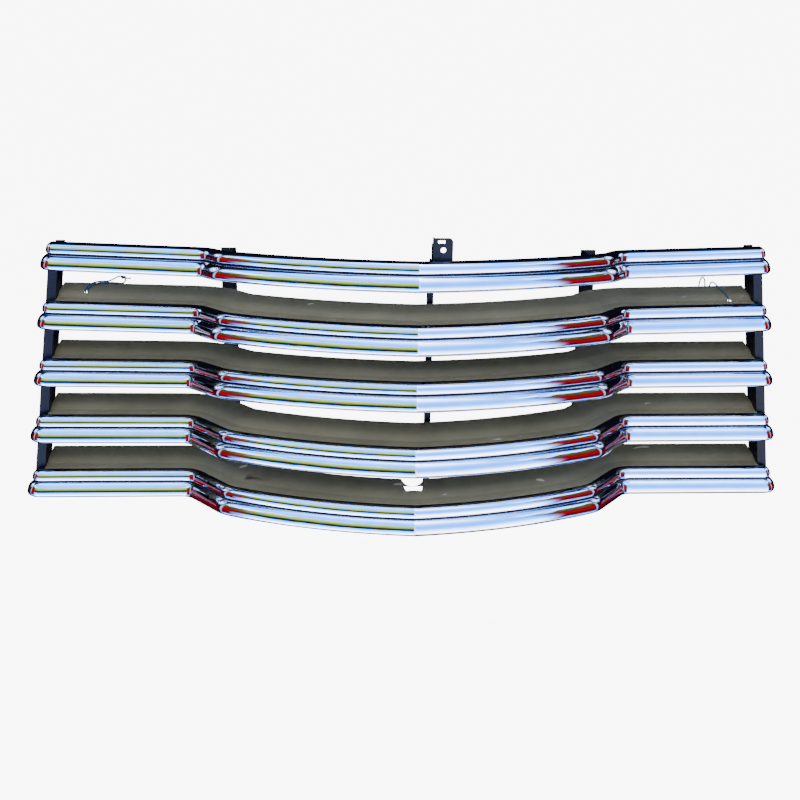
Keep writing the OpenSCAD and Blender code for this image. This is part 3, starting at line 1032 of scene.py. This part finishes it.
@dataclass
class BlackFrame:
    """The uprights and the latch bracket: packed plates in black enamel."""

    names: tuple[str, ...] = (
        "left_outer_upright",
        "right_outer_upright",
        "left_inner_upright",
        "right_inner_upright",
        "centre_upright",
        "latch_bracket",
    )

    def build(
        self, finish: BlackEnamel, nodes: dict[str, bpy.types.Object]
    ) -> list[bpy.types.Object]:
        """Paints the uprights and the bracket.

        Args:
            finish: the paint.
            nodes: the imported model's nodes.

        Returns:
            The painted pieces.
        """
        material = finish.material()
        for node in self.names:
            dress(nodes[node], material)
        return [nodes[node] for node in self.names]


class Shape(Enum):
    """The kinds of fastener."""

    NUT = "nut"
    LOCK_WASHER = "lock washer"
    BOLT = "bolt"


@dataclass(frozen=True)
class FastenerGroup:
    """One kind of fastener wherever it is used, with its sizes in metres.

    Radius is to the corners of a nut or the edge of a washer or head; bore is a nut's or
    washer's hole and a bolt's thread.
    """

    piece: str
    shape: Shape
    radius: float
    height: float
    bore: float
    length: float = 0.0


@dataclass
class Fasteners:
    """Clip plates, and the bolts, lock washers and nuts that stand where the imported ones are."""

    clips: str = "bar_clips"
    kinds: tuple[tuple[str, str, Shape], ...] = (
        ("bar_bolts", "bar_bolt_set", Shape.BOLT),
        ("bar_lock_washers", "bar_lock_washer_set", Shape.LOCK_WASHER),
        ("bar_nuts", "bar_nut_set", Shape.NUT),
        ("panel_nuts", "panel_nut_set", Shape.NUT),
        ("panel_end_screws", "panel_end_screw_set", Shape.BOLT),
        ("panel_end_nuts", "panel_end_nut_set", Shape.NUT),
        ("bracket_bolts", "bracket_bolt_set", Shape.BOLT),
        ("bracket_nuts", "bracket_nut_set", Shape.NUT),
    )
    seam: float = 1e-5
    weld: float = 2e-6
    sharp: float = 30.0
    nut_sides: int = 6
    nut_chamfer: float = 0.0006
    washer_sides: int = 36
    washer_split: float = 0.965  # share of the circle that the split washer goes round
    washer_chamfer: float = 0.0002
    head_sides: int = 32
    head_crown: float = 0.72  # radius of the dome's flat, as a share of the head's
    thread_share: float = 0.5  # radius of the thread, as a share of the head's
    shank_sides: int = 24
    shank_relief: float = 0.0003
    thread_pitch: float = 0.0011
    thread_sides: int = 4
    thread_r: float = 0.00032
    thread_relief: float = 0.00034
    thread_start: float = 0.0005
    thread_lead: float = 0.001
    coil_steps: int = 16

    def build(
        self, finish: ZincPlate, nodes: dict[str, bpy.types.Object]
    ) -> list[bpy.types.Object]:
        """Plates the clips and makes every other fastener.

        Args:
            finish: the plating.
            nodes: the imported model's nodes.

        Returns:
            The clips and the new pieces.
        """
        material = finish.material()
        dress(nodes[self.clips], material)
        pieces = [nodes[self.clips]]
        for node, piece_name, shape in self.kinds:
            places, group = self.measure(nodes[node], piece_name, shape)
            piece = self.scatter(places, group, material)
            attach(piece, ROOT)
            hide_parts(node)
            LOG.info("%s: %d fasteners", piece.name, len(places))
            pieces.append(piece)
        return pieces

    def measure(
        self, source: bpy.types.Object, piece_name: str, shape: Shape
    ) -> tuple[list[tuple[np.ndarray, np.ndarray]], FastenerGroup]:
        """Finds where each packed fastener is, which way it points and how big it is.

        Args:
            source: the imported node.
            piece_name: the new piece's name.
            shape: the kind of fastener.

        Returns:
            Foot and axis of each fastener, and the group's sizes.
        """
        work = bmesh.new()
        work.from_mesh(source.data)
        bmesh.ops.remove_doubles(work, verts=work.verts, dist=self.seam)
        places, sizes = [], []
        left = set(work.verts)
        while left:
            island, todo = set(), [left.pop()]
            while todo:
                vert = todo.pop()
                if vert in island:
                    continue
                island.add(vert)
                todo.extend(e.other_vert(vert) for e in vert.link_edges)
            left -= island
            points = np.array(sorted(tuple(v.co) for v in island))
            foot, axis, size = self.axis_of(points, shape)
            places.append((foot, axis))
            sizes.append(size)
        work.free()
        order = sorted(range(len(places)), key=lambda i: tuple(np.round(places[i][0], 4)))
        middling = np.median(np.array(sizes), axis=0)
        group = FastenerGroup(piece_name, shape, *(float(size) for size in middling))
        return [places[i] for i in order], group

    @staticmethod
    def axis_of(
        points: np.ndarray, shape: Shape
    ) -> tuple[np.ndarray, np.ndarray, tuple[float, ...]]:
        """Works out the foot, axis and sizes of one fastener from its points.

        Args:
            points: the fastener's points.
            shape: its kind.

        Returns:
            Foot, axis, and radius, height, bore radius and length.
        """
        middle = (points.min(0) + points.max(0)) / 2
        for _ in range(2):
            values, vectors = np.linalg.eigh(np.cov((points - middle).T))
            odd = 0 if values[1] - values[0] > values[2] - values[1] else 2
            axis = vectors[:, odd]
            along = (points - middle) @ axis
            middle = middle + axis * (along.max() + along.min()) / 2
            off = points - middle - np.outer((points - middle) @ axis, axis)
            middle = middle + (off.max(0) + off.min(0)) / 2
        along = (points - middle) @ axis
        away = np.linalg.norm(points - middle - np.outer(along, axis), axis=1)
        length = float(along.max() - along.min())
        radius, bore = float(away.max()), float(away.min())
        if shape is not Shape.BOLT:
            return middle - axis * length / 2, axis, (radius, length, bore, length)
        rim = away > radius * 0.9
        if along[rim].mean() > 0:
            axis, along = -axis, -along
        height = float(along[rim].max() - along[rim].min())
        return middle - axis * length / 2, axis, (radius, height, bore, length)

    def scatter(
        self,
        places: list[tuple[np.ndarray, np.ndarray]],
        group: FastenerGroup,
        material: bpy.types.Material,
    ) -> bpy.types.Object:
        """Stands one shape on every place and turns the result into a plain mesh.

        Args:
            places: foot and axis of each fastener.
            group: its sizes.
            material: its material.

        Returns:
            The group's mesh object.
        """
        seats = mesh_object(group.piece + "_seats", np.array([foot for foot, _ in places]), [])
        axes = seats.data.attributes.new("axis", "FLOAT_VECTOR", "POINT")
        axes.data.foreach_set("vector", np.array([axis for _, axis in places], np.float32).ravel())
        tree, sockets = self.tree(group, material)
        modifier = seats.modifiers.new("fasteners", "NODES")
        modifier.node_group = tree
        sizes = {
            "Radius": group.radius,
            "Height": group.height,
            "Bore": group.bore,
            "Length": group.length,
            "Pitch": self.thread_pitch,
        }
        for name, value in sizes.items():
            modifier[sockets[name]] = value
        graph = bpy.context.evaluated_depsgraph_get()
        mesh = bpy.data.meshes.new_from_object(seats.evaluated_get(graph))
        bpy.data.objects.remove(seats)
        mesh.name = group.piece
        piece = bpy.data.objects.new(group.piece, mesh)
        bpy.context.scene.collection.objects.link(piece)
        weld_and_shade(piece, self.weld, self.sharp)
        return piece

    def tree(
        self, group: FastenerGroup, material: bpy.types.Material
    ) -> tuple[bpy.types.NodeTree, dict[str, str]]:
        """Builds the node tree that draws a fastener and stands it on each seat.

        Args:
            group: the kind of fastener.
            material: its material.

        Returns:
            The tree, and each named input's identifier.
        """
        tree = bpy.data.node_groups.new(group.shape.value + " on seats", "GeometryNodeTree")
        face = tree.interface
        face.new_socket("Geometry", in_out="INPUT", socket_type="NodeSocketGeometry")
        sockets = {
            name: face.new_socket(name, in_out="INPUT", socket_type="NodeSocketFloat").identifier
            for name in ("Radius", "Height", "Bore", "Length", "Pitch")
        }
        face.new_socket("Geometry", in_out="OUTPUT", socket_type="NodeSocketGeometry")
        inputs = add_node(tree, "NodeGroupInput")
        shape = {
            Shape.NUT: self.nut,
            Shape.LOCK_WASHER: self.lock_washer,
            Shape.BOLT: self.bolt,
        }[group.shape](tree, inputs)
        axis = add_node(
            tree,
            "GeometryNodeInputNamedAttribute",
            data_type="FLOAT_VECTOR",
            values={"Name": "axis"},
        )
        turned = add_node(
            tree, "FunctionNodeAlignEulerToVector", {"Vector": axis.outputs[0]}, axis="Z"
        )
        stood = add_node(
            tree,
            "GeometryNodeInstanceOnPoints",
            {
                "Points": inputs.outputs["Geometry"],
                "Instance": shape,
                "Rotation": turned.outputs["Rotation"],
            },
        )
        real = add_node(
            tree, "GeometryNodeRealizeInstances", {"Geometry": stood.outputs["Instances"]}
        )
        plated = add_node(
            tree,
            "GeometryNodeSetMaterial",
            {"Geometry": real.outputs["Geometry"]},
            values={"Material": material},
        )
        add_node(tree, "NodeGroupOutput", {"Geometry": plated.outputs["Geometry"]})
        return tree, sockets

    @staticmethod
    def lifted(
        tree: bpy.types.NodeTree,
        mesh: bpy.types.NodeSocket,
        height: bpy.types.NodeSocket,
        share: float = 1.0,
        extra: float = 0.0,
    ) -> bpy.types.NodeSocket:
        """Moves a mesh up.

        Args:
            tree: the tree.
            mesh: the mesh's output.
            height: the output that gives the height.
            share: how much of the height it moves by.
            extra: what is added to that, in metres.

        Returns:
            The moved mesh's output.
        """
        rise = add_node(
            tree, "ShaderNodeMath", {0: height, 1: share, 2: extra}, operation="MULTIPLY_ADD"
        )
        shift = add_node(tree, "ShaderNodeCombineXYZ", {"Z": rise.outputs["Value"]})
        moved = add_node(
            tree,
            "GeometryNodeTransform",
            {"Geometry": mesh, "Translation": shift.outputs["Vector"]},
        )
        return moved.outputs["Geometry"]

    def ring(
        self,
        tree: bpy.types.NodeTree,
        inputs: bpy.types.Node,
        sides: int,
        share: float,
        chamfer: float,
    ) -> bpy.types.NodeSocket:
        """Draws a ring with a square section, from bore to radius and from 0 to height.

        Args:
            tree: the tree.
            inputs: its input node.
            sides: sides of the ring.
            share: how much of the circle it goes round.
            chamfer: chamfer of its edges, in metres.

        Returns:
            The ring's geometry output.
        """
        radius, bore, height = (inputs.outputs[n] for n in ("Radius", "Bore", "Height"))
        both = add_node(tree, "ShaderNodeMath", {0: radius, 1: bore}, operation="ADD")
        middle = add_node(
            tree, "ShaderNodeMath", {0: both.outputs["Value"], 1: 0.5}, operation="MULTIPLY"
        )
        width = add_node(tree, "ShaderNodeMath", {0: radius, 1: bore}, operation="SUBTRACT")
        line = add_node(
            tree,
            "GeometryNodeCurvePrimitiveCircle",
            {"Radius": middle.outputs["Value"]},
            values={"Resolution": sides},
        ).outputs["Curve"]
        if share < 1:
            line = add_node(
                tree,
                "GeometryNodeTrimCurve",
                {"Curve": line},
                mode="FACTOR",
                values={"End": share},
            ).outputs["Curve"]
        section = add_node(
            tree,
            "GeometryNodeCurvePrimitiveQuadrilateral",
            {"Width": width.outputs["Value"], "Height": height},
        )
        eased = add_node(
            tree,
            "GeometryNodeFilletCurve",
            {"Curve": section.outputs["Curve"]},
            values={"Radius": chamfer},
        )
        swept = add_node(
            tree,
            "GeometryNodeCurveToMesh",
            {"Curve": line, "Profile Curve": eased.outputs["Curve"]},
            values={"Fill Caps": share < 1},
        )
        return self.lifted(tree, swept.outputs["Mesh"], height, 0.5)

    def nut(self, tree: bpy.types.NodeTree, inputs: bpy.types.Node) -> bpy.types.NodeSocket:
        """Draws a hexagon nut with eased edges."""
        return self.ring(tree, inputs, self.nut_sides, 1.0, self.nut_chamfer)

    def lock_washer(
        self, tree: bpy.types.NodeTree, inputs: bpy.types.Node
    ) -> bpy.types.NodeSocket:
        """Draws a spring washer, split at one place."""
        return self.ring(tree, inputs, self.washer_sides, self.washer_split, self.washer_chamfer)

    def bolt(self, tree: bpy.types.NodeTree, inputs: bpy.types.Node) -> bpy.types.NodeSocket:
        """Draws a bolt: a low domed head, a shank and a rolled thread.

        Args:
            tree: the tree.
            inputs: its input node.

        Returns:
            The bolt's geometry output.
        """
        radius, height, length = (inputs.outputs[n] for n in ("Radius", "Height", "Length"))
        shank_r, coil_r, crown_r, half = (
            add_node(
                tree, "ShaderNodeMath", {0: size, 1: share, 2: extra}, operation="MULTIPLY_ADD"
            ).outputs["Value"]
            for size, share, extra in (
                (radius, self.thread_share, -self.shank_relief),
                (radius, self.thread_share, -self.thread_relief),
                (radius, self.head_crown, 0.0),
                (height, 0.5, 0.0),
            )
        )
        shank = add_node(
            tree,
            "GeometryNodeMeshCylinder",
            {"Radius": shank_r, "Depth": length},
            values={"Vertices": self.shank_sides},
        )
        flange = add_node(
            tree,
            "GeometryNodeMeshCylinder",
            {"Radius": radius, "Depth": half},
            values={"Vertices": self.head_sides},
        )
        dome = add_node(
            tree,
            "GeometryNodeMeshCone",
            {"Radius Top": radius, "Radius Bottom": crown_r, "Depth": half},
            values={"Vertices": self.head_sides},
        )
        clear = add_node(tree, "ShaderNodeMath", {0: length, 1: height}, operation="SUBTRACT")
        rolled = add_node(
            tree,
            "ShaderNodeMath",
            {0: clear.outputs["Value"], 1: self.thread_lead},
            operation="SUBTRACT",
        )
        turns = add_node(
            tree,
            "ShaderNodeMath",
            {0: rolled.outputs["Value"], 1: inputs.outputs["Pitch"]},
            operation="DIVIDE",
        )
        coil = add_node(
            tree,
            "GeometryNodeCurveSpiral",
            {
                "Rotations": turns.outputs["Value"],
                "Start Radius": coil_r,
                "End Radius": coil_r,
                "Height": rolled.outputs["Value"],
            },
            values={"Resolution": self.coil_steps},
        )
        ridge = add_node(
            tree,
            "GeometryNodeCurvePrimitiveCircle",
            values={"Radius": self.thread_r, "Resolution": self.thread_sides},
        )
        thread = add_node(
            tree,
            "GeometryNodeCurveToMesh",
            {"Curve": coil.outputs["Curve"], "Profile Curve": ridge.outputs["Curve"]},
            values={"Fill Caps": True},
        )
        whole = add_node(tree, "GeometryNodeJoinGeometry")
        for part in (
            self.lifted(tree, shank.outputs["Mesh"], length, 0.5),
            self.lifted(tree, flange.outputs["Mesh"], height, 0.75),
            dome.outputs["Mesh"],
            self.lifted(tree, thread.outputs["Mesh"], height, extra=self.thread_start),
        ):
            tree.links.new(part, whole.inputs["Geometry"])
        return whole.outputs["Geometry"]


@dataclass
class TwineTies:
    """Two ends of blue twine, each along its own route, with y = 0 at the bar tips."""

    shift_y: float
    diameter: float = 3.0
    left: tuple[Point3, ...] = (
        (-595, 30, 370), (-595, 30, 377), (-595, 32, 382), (-595, 37, 386), (-594, 43, 388),
        (-591, 50, 390), (-585, 58, 393), (-577, 61, 394), (-567, 62, 394), (-557, 62, 395),
        (-550, 63, 398), (-544, 64, 402), (-537, 65, 404), (-531, 64, 403), (-527, 61, 399),
        (-527, 57, 395), (-531, 55, 392), (-538, 55, 392), (-546, 56, 393), (-555, 57, 393),
        (-565, 57, 393), (-575, 56, 392), (-583, 52, 391), (-588, 45, 388), (-591, 37, 386),
        (-591, 32, 382), (-591, 30, 376), (-591, 30, 370),
    )  # fmt: skip
    right: tuple[Point3, ...] = (
        (601, 18, 362), (601, 18, 370), (599, 22, 376), (596, 30, 382), (593, 39, 386),
        (590, 49, 390), (587, 56, 394), (584, 63, 398), (581, 69, 398), (579, 72, 393),
        (578, 72, 384), (576, 71, 376), (573, 71, 372), (570, 70, 377), (569, 70, 386),
        (569, 70, 396), (567, 70, 404), (563, 69, 407), (559, 68, 404), (557, 68, 396),
        (556, 67, 386), (555, 67, 376),
    )  # fmt: skip
    strands: int = 3
    strand_share: float = 0.29  # a strand's radius, as a share of the twine's diameter
    strand_sides: int = 8
    lay: float = 14.0
    easing: int = 60
    knot_at: Point3 = (-531, 60, 402)
    knot_size: float = 3.2
    knot_steps: int = 90
    weld: float = 1e-7
    sharp: float = 60.0

    def build(self, finish: BalerTwine) -> list[bpy.types.Object]:
        """Args:
            finish: the twine's look.

        Returns:
            The new pieces.
        """
        material = finish.material()
        pieces = []
        for node, route, far_end in (
            ("left_tie", self.left, "object"),
            ("right_tie", self.right, "bare"),
        ):
            path = self.smooth(route)
            piece = self.twisted(node + "_twine", path)
            dress(piece, material)
            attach(piece, ROOT)
            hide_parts(node)
            knots = self.knot(node, material) if far_end == "object" else []
            pieces.extend(knots)
            pieces.append(piece)
        return pieces

    def smooth(self, route: tuple[Point3, ...], steps: int = 10) -> np.ndarray:
        """Draws a smooth line close along a route's points and eases its tight bends.

        Args:
            route: the points, in millimetres.
            steps: points for each stretch.

        Returns:
            One row of x, y, z for each point, in metres.
        """
        p = np.array(route, float) + (0, self.shift_y, 0)
        rows = []
        for i in range(len(p) - 1):
            a, b, c, e = p[max(i - 1, 0)], p[i], p[i + 1], p[min(i + 2, len(p) - 1)]
            for t in np.arange(steps) / steps:
                rows.append(
                    0.5
                    * (
                        2 * b
                        + (c - a) * t
                        + (2 * a - 5 * b + 4 * c - e) * t**2
                        + (3 * b - a - 3 * c + e) * t**3
                    )
                )
        rows.append(p[-1])
        line = np.array(rows)
        for _ in range(self.easing):
            line[1:-1] += 0.5 * ((line[:-2] + line[2:]) / 2 - line[1:-1])
        return line * MM

    def knot(self, node: str, material: bpy.types.Material) -> list[bpy.types.Object]:
        """Ties the overhand knot that closes the eye, with its short tail.

        Args:
            node: the tie's name.
            material: the twine's look.

        Returns:
            The knot and the tail.
        """
        middle = np.array(self.knot_at, float) + (0, self.shift_y, 0)
        t = np.linspace(0, 2 * math.pi, self.knot_steps + 1)[:-1]
        size = self.knot_size
        turns = np.stack(
            [
                size * 0.42 * (np.sin(t) + 2 * np.sin(2 * t)),
                size * 0.34 * (np.cos(t) - 2 * np.cos(2 * t)),
                -size * 0.45 * np.sin(3 * t),
            ],
            axis=1,
        )
        turns = np.concatenate([turns, turns[:1]])
        tail = middle + np.array(
            [(2.0 * i, 0.8 * math.sin(i * 0.9), -0.35 * i + 0.5 * math.cos(i)) for i in range(8)]
        )
        made = []
        for name, line in ((node + "_knot", middle + turns), (node + "_tail", tail)):
            piece = self.twisted(name, line * MM)
            dress(piece, material)
            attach(piece, ROOT)
            made.append(piece)
        return made

    def twisted(self, name: str, path: np.ndarray) -> bpy.types.Object:
        """Twists the strands round the path.

        Args:
            name: name of the piece.
            path: the centre line, in metres.

        Returns:
            The twine's mesh object.
        """
        strand_r = self.diameter * MM * self.strand_share
        off = self.diameter * MM / 2 - strand_r
        tangent = np.gradient(path, axis=0)
        tangent /= np.linalg.norm(tangent, axis=1)[:, None]
        side = np.cross(tangent, (0.1, 0.3, 1.0))
        side /= np.linalg.norm(side, axis=1)[:, None]
        up = np.cross(tangent, side)
        run = np.concatenate([[0], np.linalg.norm(np.diff(path, axis=0), axis=1).cumsum()])
        points, faces = [], []
        ring = self.strand_sides
        for s in range(self.strands):
            angle = 2 * math.pi * (run / (self.lay * MM) + s / self.strands)
            centre = path + off * (side * np.cos(angle)[:, None] + up * np.sin(angle)[:, None])
            start = len(points)
            for i in range(len(path)):
                for j in range(ring):
                    t = 2 * math.pi * j / ring
                    out = side[i] * math.cos(t) + up[i] * math.sin(t)
                    points.append(centre[i] + strand_r * out)
            for i in range(len(path) - 1):
                for j in range(ring):
                    m = (j + 1) % ring
                    a, b = start + i * ring, start + (i + 1) * ring
                    faces.append((a + j, a + m, b + m, b + j))
            faces.append(tuple(start + j for j in reversed(range(ring))))
            faces.append(tuple(start + (len(path) - 1) * ring + j for j in range(ring)))
        piece = mesh_object(name, np.array(points), faces)
        weld_and_shade(piece, self.weld, self.sharp)
        return piece


# --------------------------------------------------------------------------- studio


SKY = (
    (46.0, "#1a58a8"),
    (60.0, "#366fbe"),
    (72.0, "#5088de"),
    (84.0, "#96b4f0"),
    (90.0, "#dde5f6"),
)
SHADE = ((-90.0, "#010103"), (-58.0, "#100c23"))
TENT = (
    TentSector(
        -180,
        180,
        (*SHADE, (-48.0, "#5088de"), (-4.0, "#96b4f0"), (2.0, "#dde5f6"), (26.0, "#96b4f0"), *SKY),
    ),
    TentSector(
        -62,
        1,
        (
            *SHADE,
            (-48.0, "#96b4f0"),
            (-30.0, "#dde5f6"),
            (-12.0, "#5088de"),
            (-1.0, "#1a58a8"),
            (2.0, "#060b1d"),
            (5.0, "#010103"),
            (12.0, "#060802"),
            (17.0, "#1e260c"),
            (25.0, "#46541e"),
            (36.0, "#5a6a30"),
            (39.0, "#2a3814"),
            (41.0, "#5088de"),
            *SKY,
        ),
        soft=4.0,
        ragged=7.0,
        detail=13.0,
    ),
    TentSector(
        1,
        60,
        (
            *SHADE,
            (-52.0, "#100c23"),
            (-44.0, "#7a6c58"),
            (-30.0, "#aa957b"),
            (-20.0, "#dde5f6"),
            (-6.0, "#96b4f0"),
            (10.0, "#366fbe"),
            (26.0, "#1a58a8"),
            (46.0, "#366fbe"),
            (64.0, "#96b4f0"),
            (80.0, "#dde5f6"),
            (90.0, "#96b4f0"),
        ),
        soft=4.0,
        ragged=4.0,
    ),
    *(
        TentSector(
            a,
            b,
            (
                *SHADE,
                (-40.0, "#060b1d"),
                (-30.0, "#5088de"),
                (-18.0, "#060408"),
                (-8.0, "#1d0103"),
                (6.0, "#410105"),
                (18.0, "#350104"),
                (24.0, "#0c0f04"),
                (30.0, "#222810"),
                (36.0, "#010103"),
                (42.0, "#96b4f0"),
                *SKY,
            ),
            soft=5.0,
            ragged=11.0,
            detail=8.0,
        )
        for a, b in ((-86, -55), (52, 86))
    ),
    *(
        TentSector(
            a,
            b,
            (
                (-90.0, "#010103"),
                (-10.0, "#010102"),
                (80.0, "#020205"),
                (86.0, "#04040c"),
                (90.0, "#1a58a8"),
            ),
            soft=7.0,
            ragged=3.0,
        )
        for a, b in ((-200, -84), (84, 200))
    ),
    *(
        TentSector(
            a,
            b,
            (
                (-90.0, "#010103"),
                (-22.0, "#0a0306"),
                (-8.0, "#2a0104"),
                (6.0, "#0c0104"),
                (20.0, "#020205"),
                (32.0, "#96b4f0"),
                (42.0, "#04040c"),
                (86.0, "#04040c"),
                (90.0, "#1a58a8"),
            ),
            soft=5.0,
            ragged=14.0,
            detail=16.0,
        )
        for a, b in ((-114, -94), (94, 114))
    ),
)


@dataclass
class Studio:
    """Camera, floor and light tent."""

    lens: float = 49.402
    sensor: float = 36.0
    place: Point3 = (-0.1352, -1.905, 0.7648)
    yaw: float = 0.0592
    pitch: float = 0.2857
    roll: float = 0.0157
    floor_half: float = 30.0
    wall_at: float = 28.0
    wall_top: float = 20.0
    tent_r: float = 30.0
    tent_centre_z: float = 0.25
    tent_rows: int = 24
    tent_columns: int = 48
    softbox_size: Point2 = (2.4, 1.2)
    softbox_place: Point3 = (-0.4, -2.3, 1.9)
    softbox_aim: Point3 = (0.0, 0.0, 0.25)
    softbox_watts: float = 34.0
    softbox_tone: str = "#fff4de"
    light: float = 12.0
    room: float = 0.32
    room_tone: str = "#fbfaff"

    def camera(self) -> None:
        """Sets the camera up at eye height in front of the grille, looking a little down."""
        data = bpy.data.cameras.new("camera")
        data.lens = self.lens
        data.sensor_width = self.sensor
        camera = bpy.data.objects.new("camera", data)
        bpy.context.scene.collection.objects.link(camera)
        look = Vector(
            (
                math.sin(self.yaw) * math.cos(self.pitch),
                math.cos(self.yaw) * math.cos(self.pitch),
                -math.sin(self.pitch),
            )
        )
        camera.location = self.place
        camera.rotation_mode = "QUATERNION"
        level = look.to_track_quat("-Z", "Y").to_matrix().to_4x4()
        rolled = level @ Matrix.Rotation(self.roll, 4, "Z")
        camera.rotation_quaternion = rolled.to_quaternion()
        bpy.context.scene.camera = camera

    def floor(self) -> None:
        """Lays the pale floor and stands a wall of the same stuff far behind it."""
        finish = StudioFloor("matt_studio_floor").material()
        half, wall, top = self.floor_half, self.wall_at, self.wall_top
        floor = mesh_object(
            "floor",
            np.array([(-half, -half, 0), (half, -half, 0), (half, half, 0), (-half, half, 0)]),
            [(0, 1, 2, 3)],
        )
        backdrop = mesh_object(
            "backdrop",
            np.array([(-half, wall, 0), (half, wall, 0), (half, wall, top), (-half, wall, top)]),
            [(0, 1, 2, 3)],
        )
        for piece in (floor, backdrop):
            dress(piece, finish)
            piece.visible_glossy = False
            piece.visible_diffuse = False
            piece.visible_shadow = False

    def softbox(self) -> None:
        """Hangs a large soft light above and in front, which the chrome doesn't mirror."""
        data = bpy.data.lights.new("softbox", "AREA")
        data.shape = "RECTANGLE"
        data.size, data.size_y = self.softbox_size
        data.energy = self.softbox_watts
        data.color = linear(self.softbox_tone)[:3]
        lamp = bpy.data.objects.new("softbox", data)
        bpy.context.scene.collection.objects.link(lamp)
        lamp.location = self.softbox_place
        lamp.rotation_mode = "QUATERNION"
        aim = Vector(self.softbox_aim) - Vector(self.softbox_place)
        lamp.rotation_quaternion = aim.to_track_quat("-Z", "Y")
        lamp.visible_glossy = False
        lamp.visible_camera = False

    def tent(self) -> None:
        """Raises the light tent, which lights and reflects but isn't looked at."""
        world = bpy.data.worlds.new("pale_room")
        bpy.context.scene.world = world
        world.use_nodes = True
        back = next(n for n in world.node_tree.nodes if n.type == "BACKGROUND")
        back.inputs["Color"].default_value = linear(self.room_tone)
        back.inputs["Strength"].default_value = self.room
        rows, columns = self.tent_rows, self.tent_columns
        points, faces = [], []
        for i in range(rows + 1):
            e = math.pi * (i / rows - 0.5)
            for j in range(columns):
                t = 2 * math.pi * j / columns
                points.append(
                    (
                        self.tent_r * math.cos(e) * math.sin(t),
                        -self.tent_r * math.cos(e) * math.cos(t),
                        self.tent_r * math.sin(e) + self.tent_centre_z,
                    )
                )
        for i in range(rows):
            low, high = i * columns, (i + 1) * columns
            for j in range(columns):
                m = (j + 1) % columns
                faces.append((low + j, high + j, high + m, low + m))
        tent = mesh_object("light_tent", np.array(points), faces)
        dress(tent, LightTent("tent_cloth", strength=self.light, sectors=TENT).material())
        tent.visible_camera = False
        tent.visible_shadow = False
        tent.visible_diffuse = False


def main() -> None:
    """Builds the studio and the grille, in order."""
    logging.basicConfig(level=logging.INFO, format="%(name)s: %(message)s")
    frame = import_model()
    nodes = frame["nodes"]
    studio = Studio()
    studio.camera()
    plan = GrillePlan()
    pieces = TwineTies(plan.shift_y).build(BalerTwine("blue_polypropylene_twine"))
    pieces += ChromeBars(plan).build(ChromePlate("bright_chrome_plate"))
    pieces += ShelfPanels().build(ShelfEnamel("satin_grey_olive_enamel"), nodes)
    pieces += BlackFrame().build(BlackEnamel("semi_gloss_black_enamel"), nodes)
    pieces += Fasteners().build(ZincPlate("zinc_plated_steel"), nodes)
    for piece in pieces:
        LOG.info("%s: %d faces", piece.name, len(piece.data.polygons))
    studio.floor()
    studio.softbox()
    studio.tent()


if __name__ == "__main__":
    main()
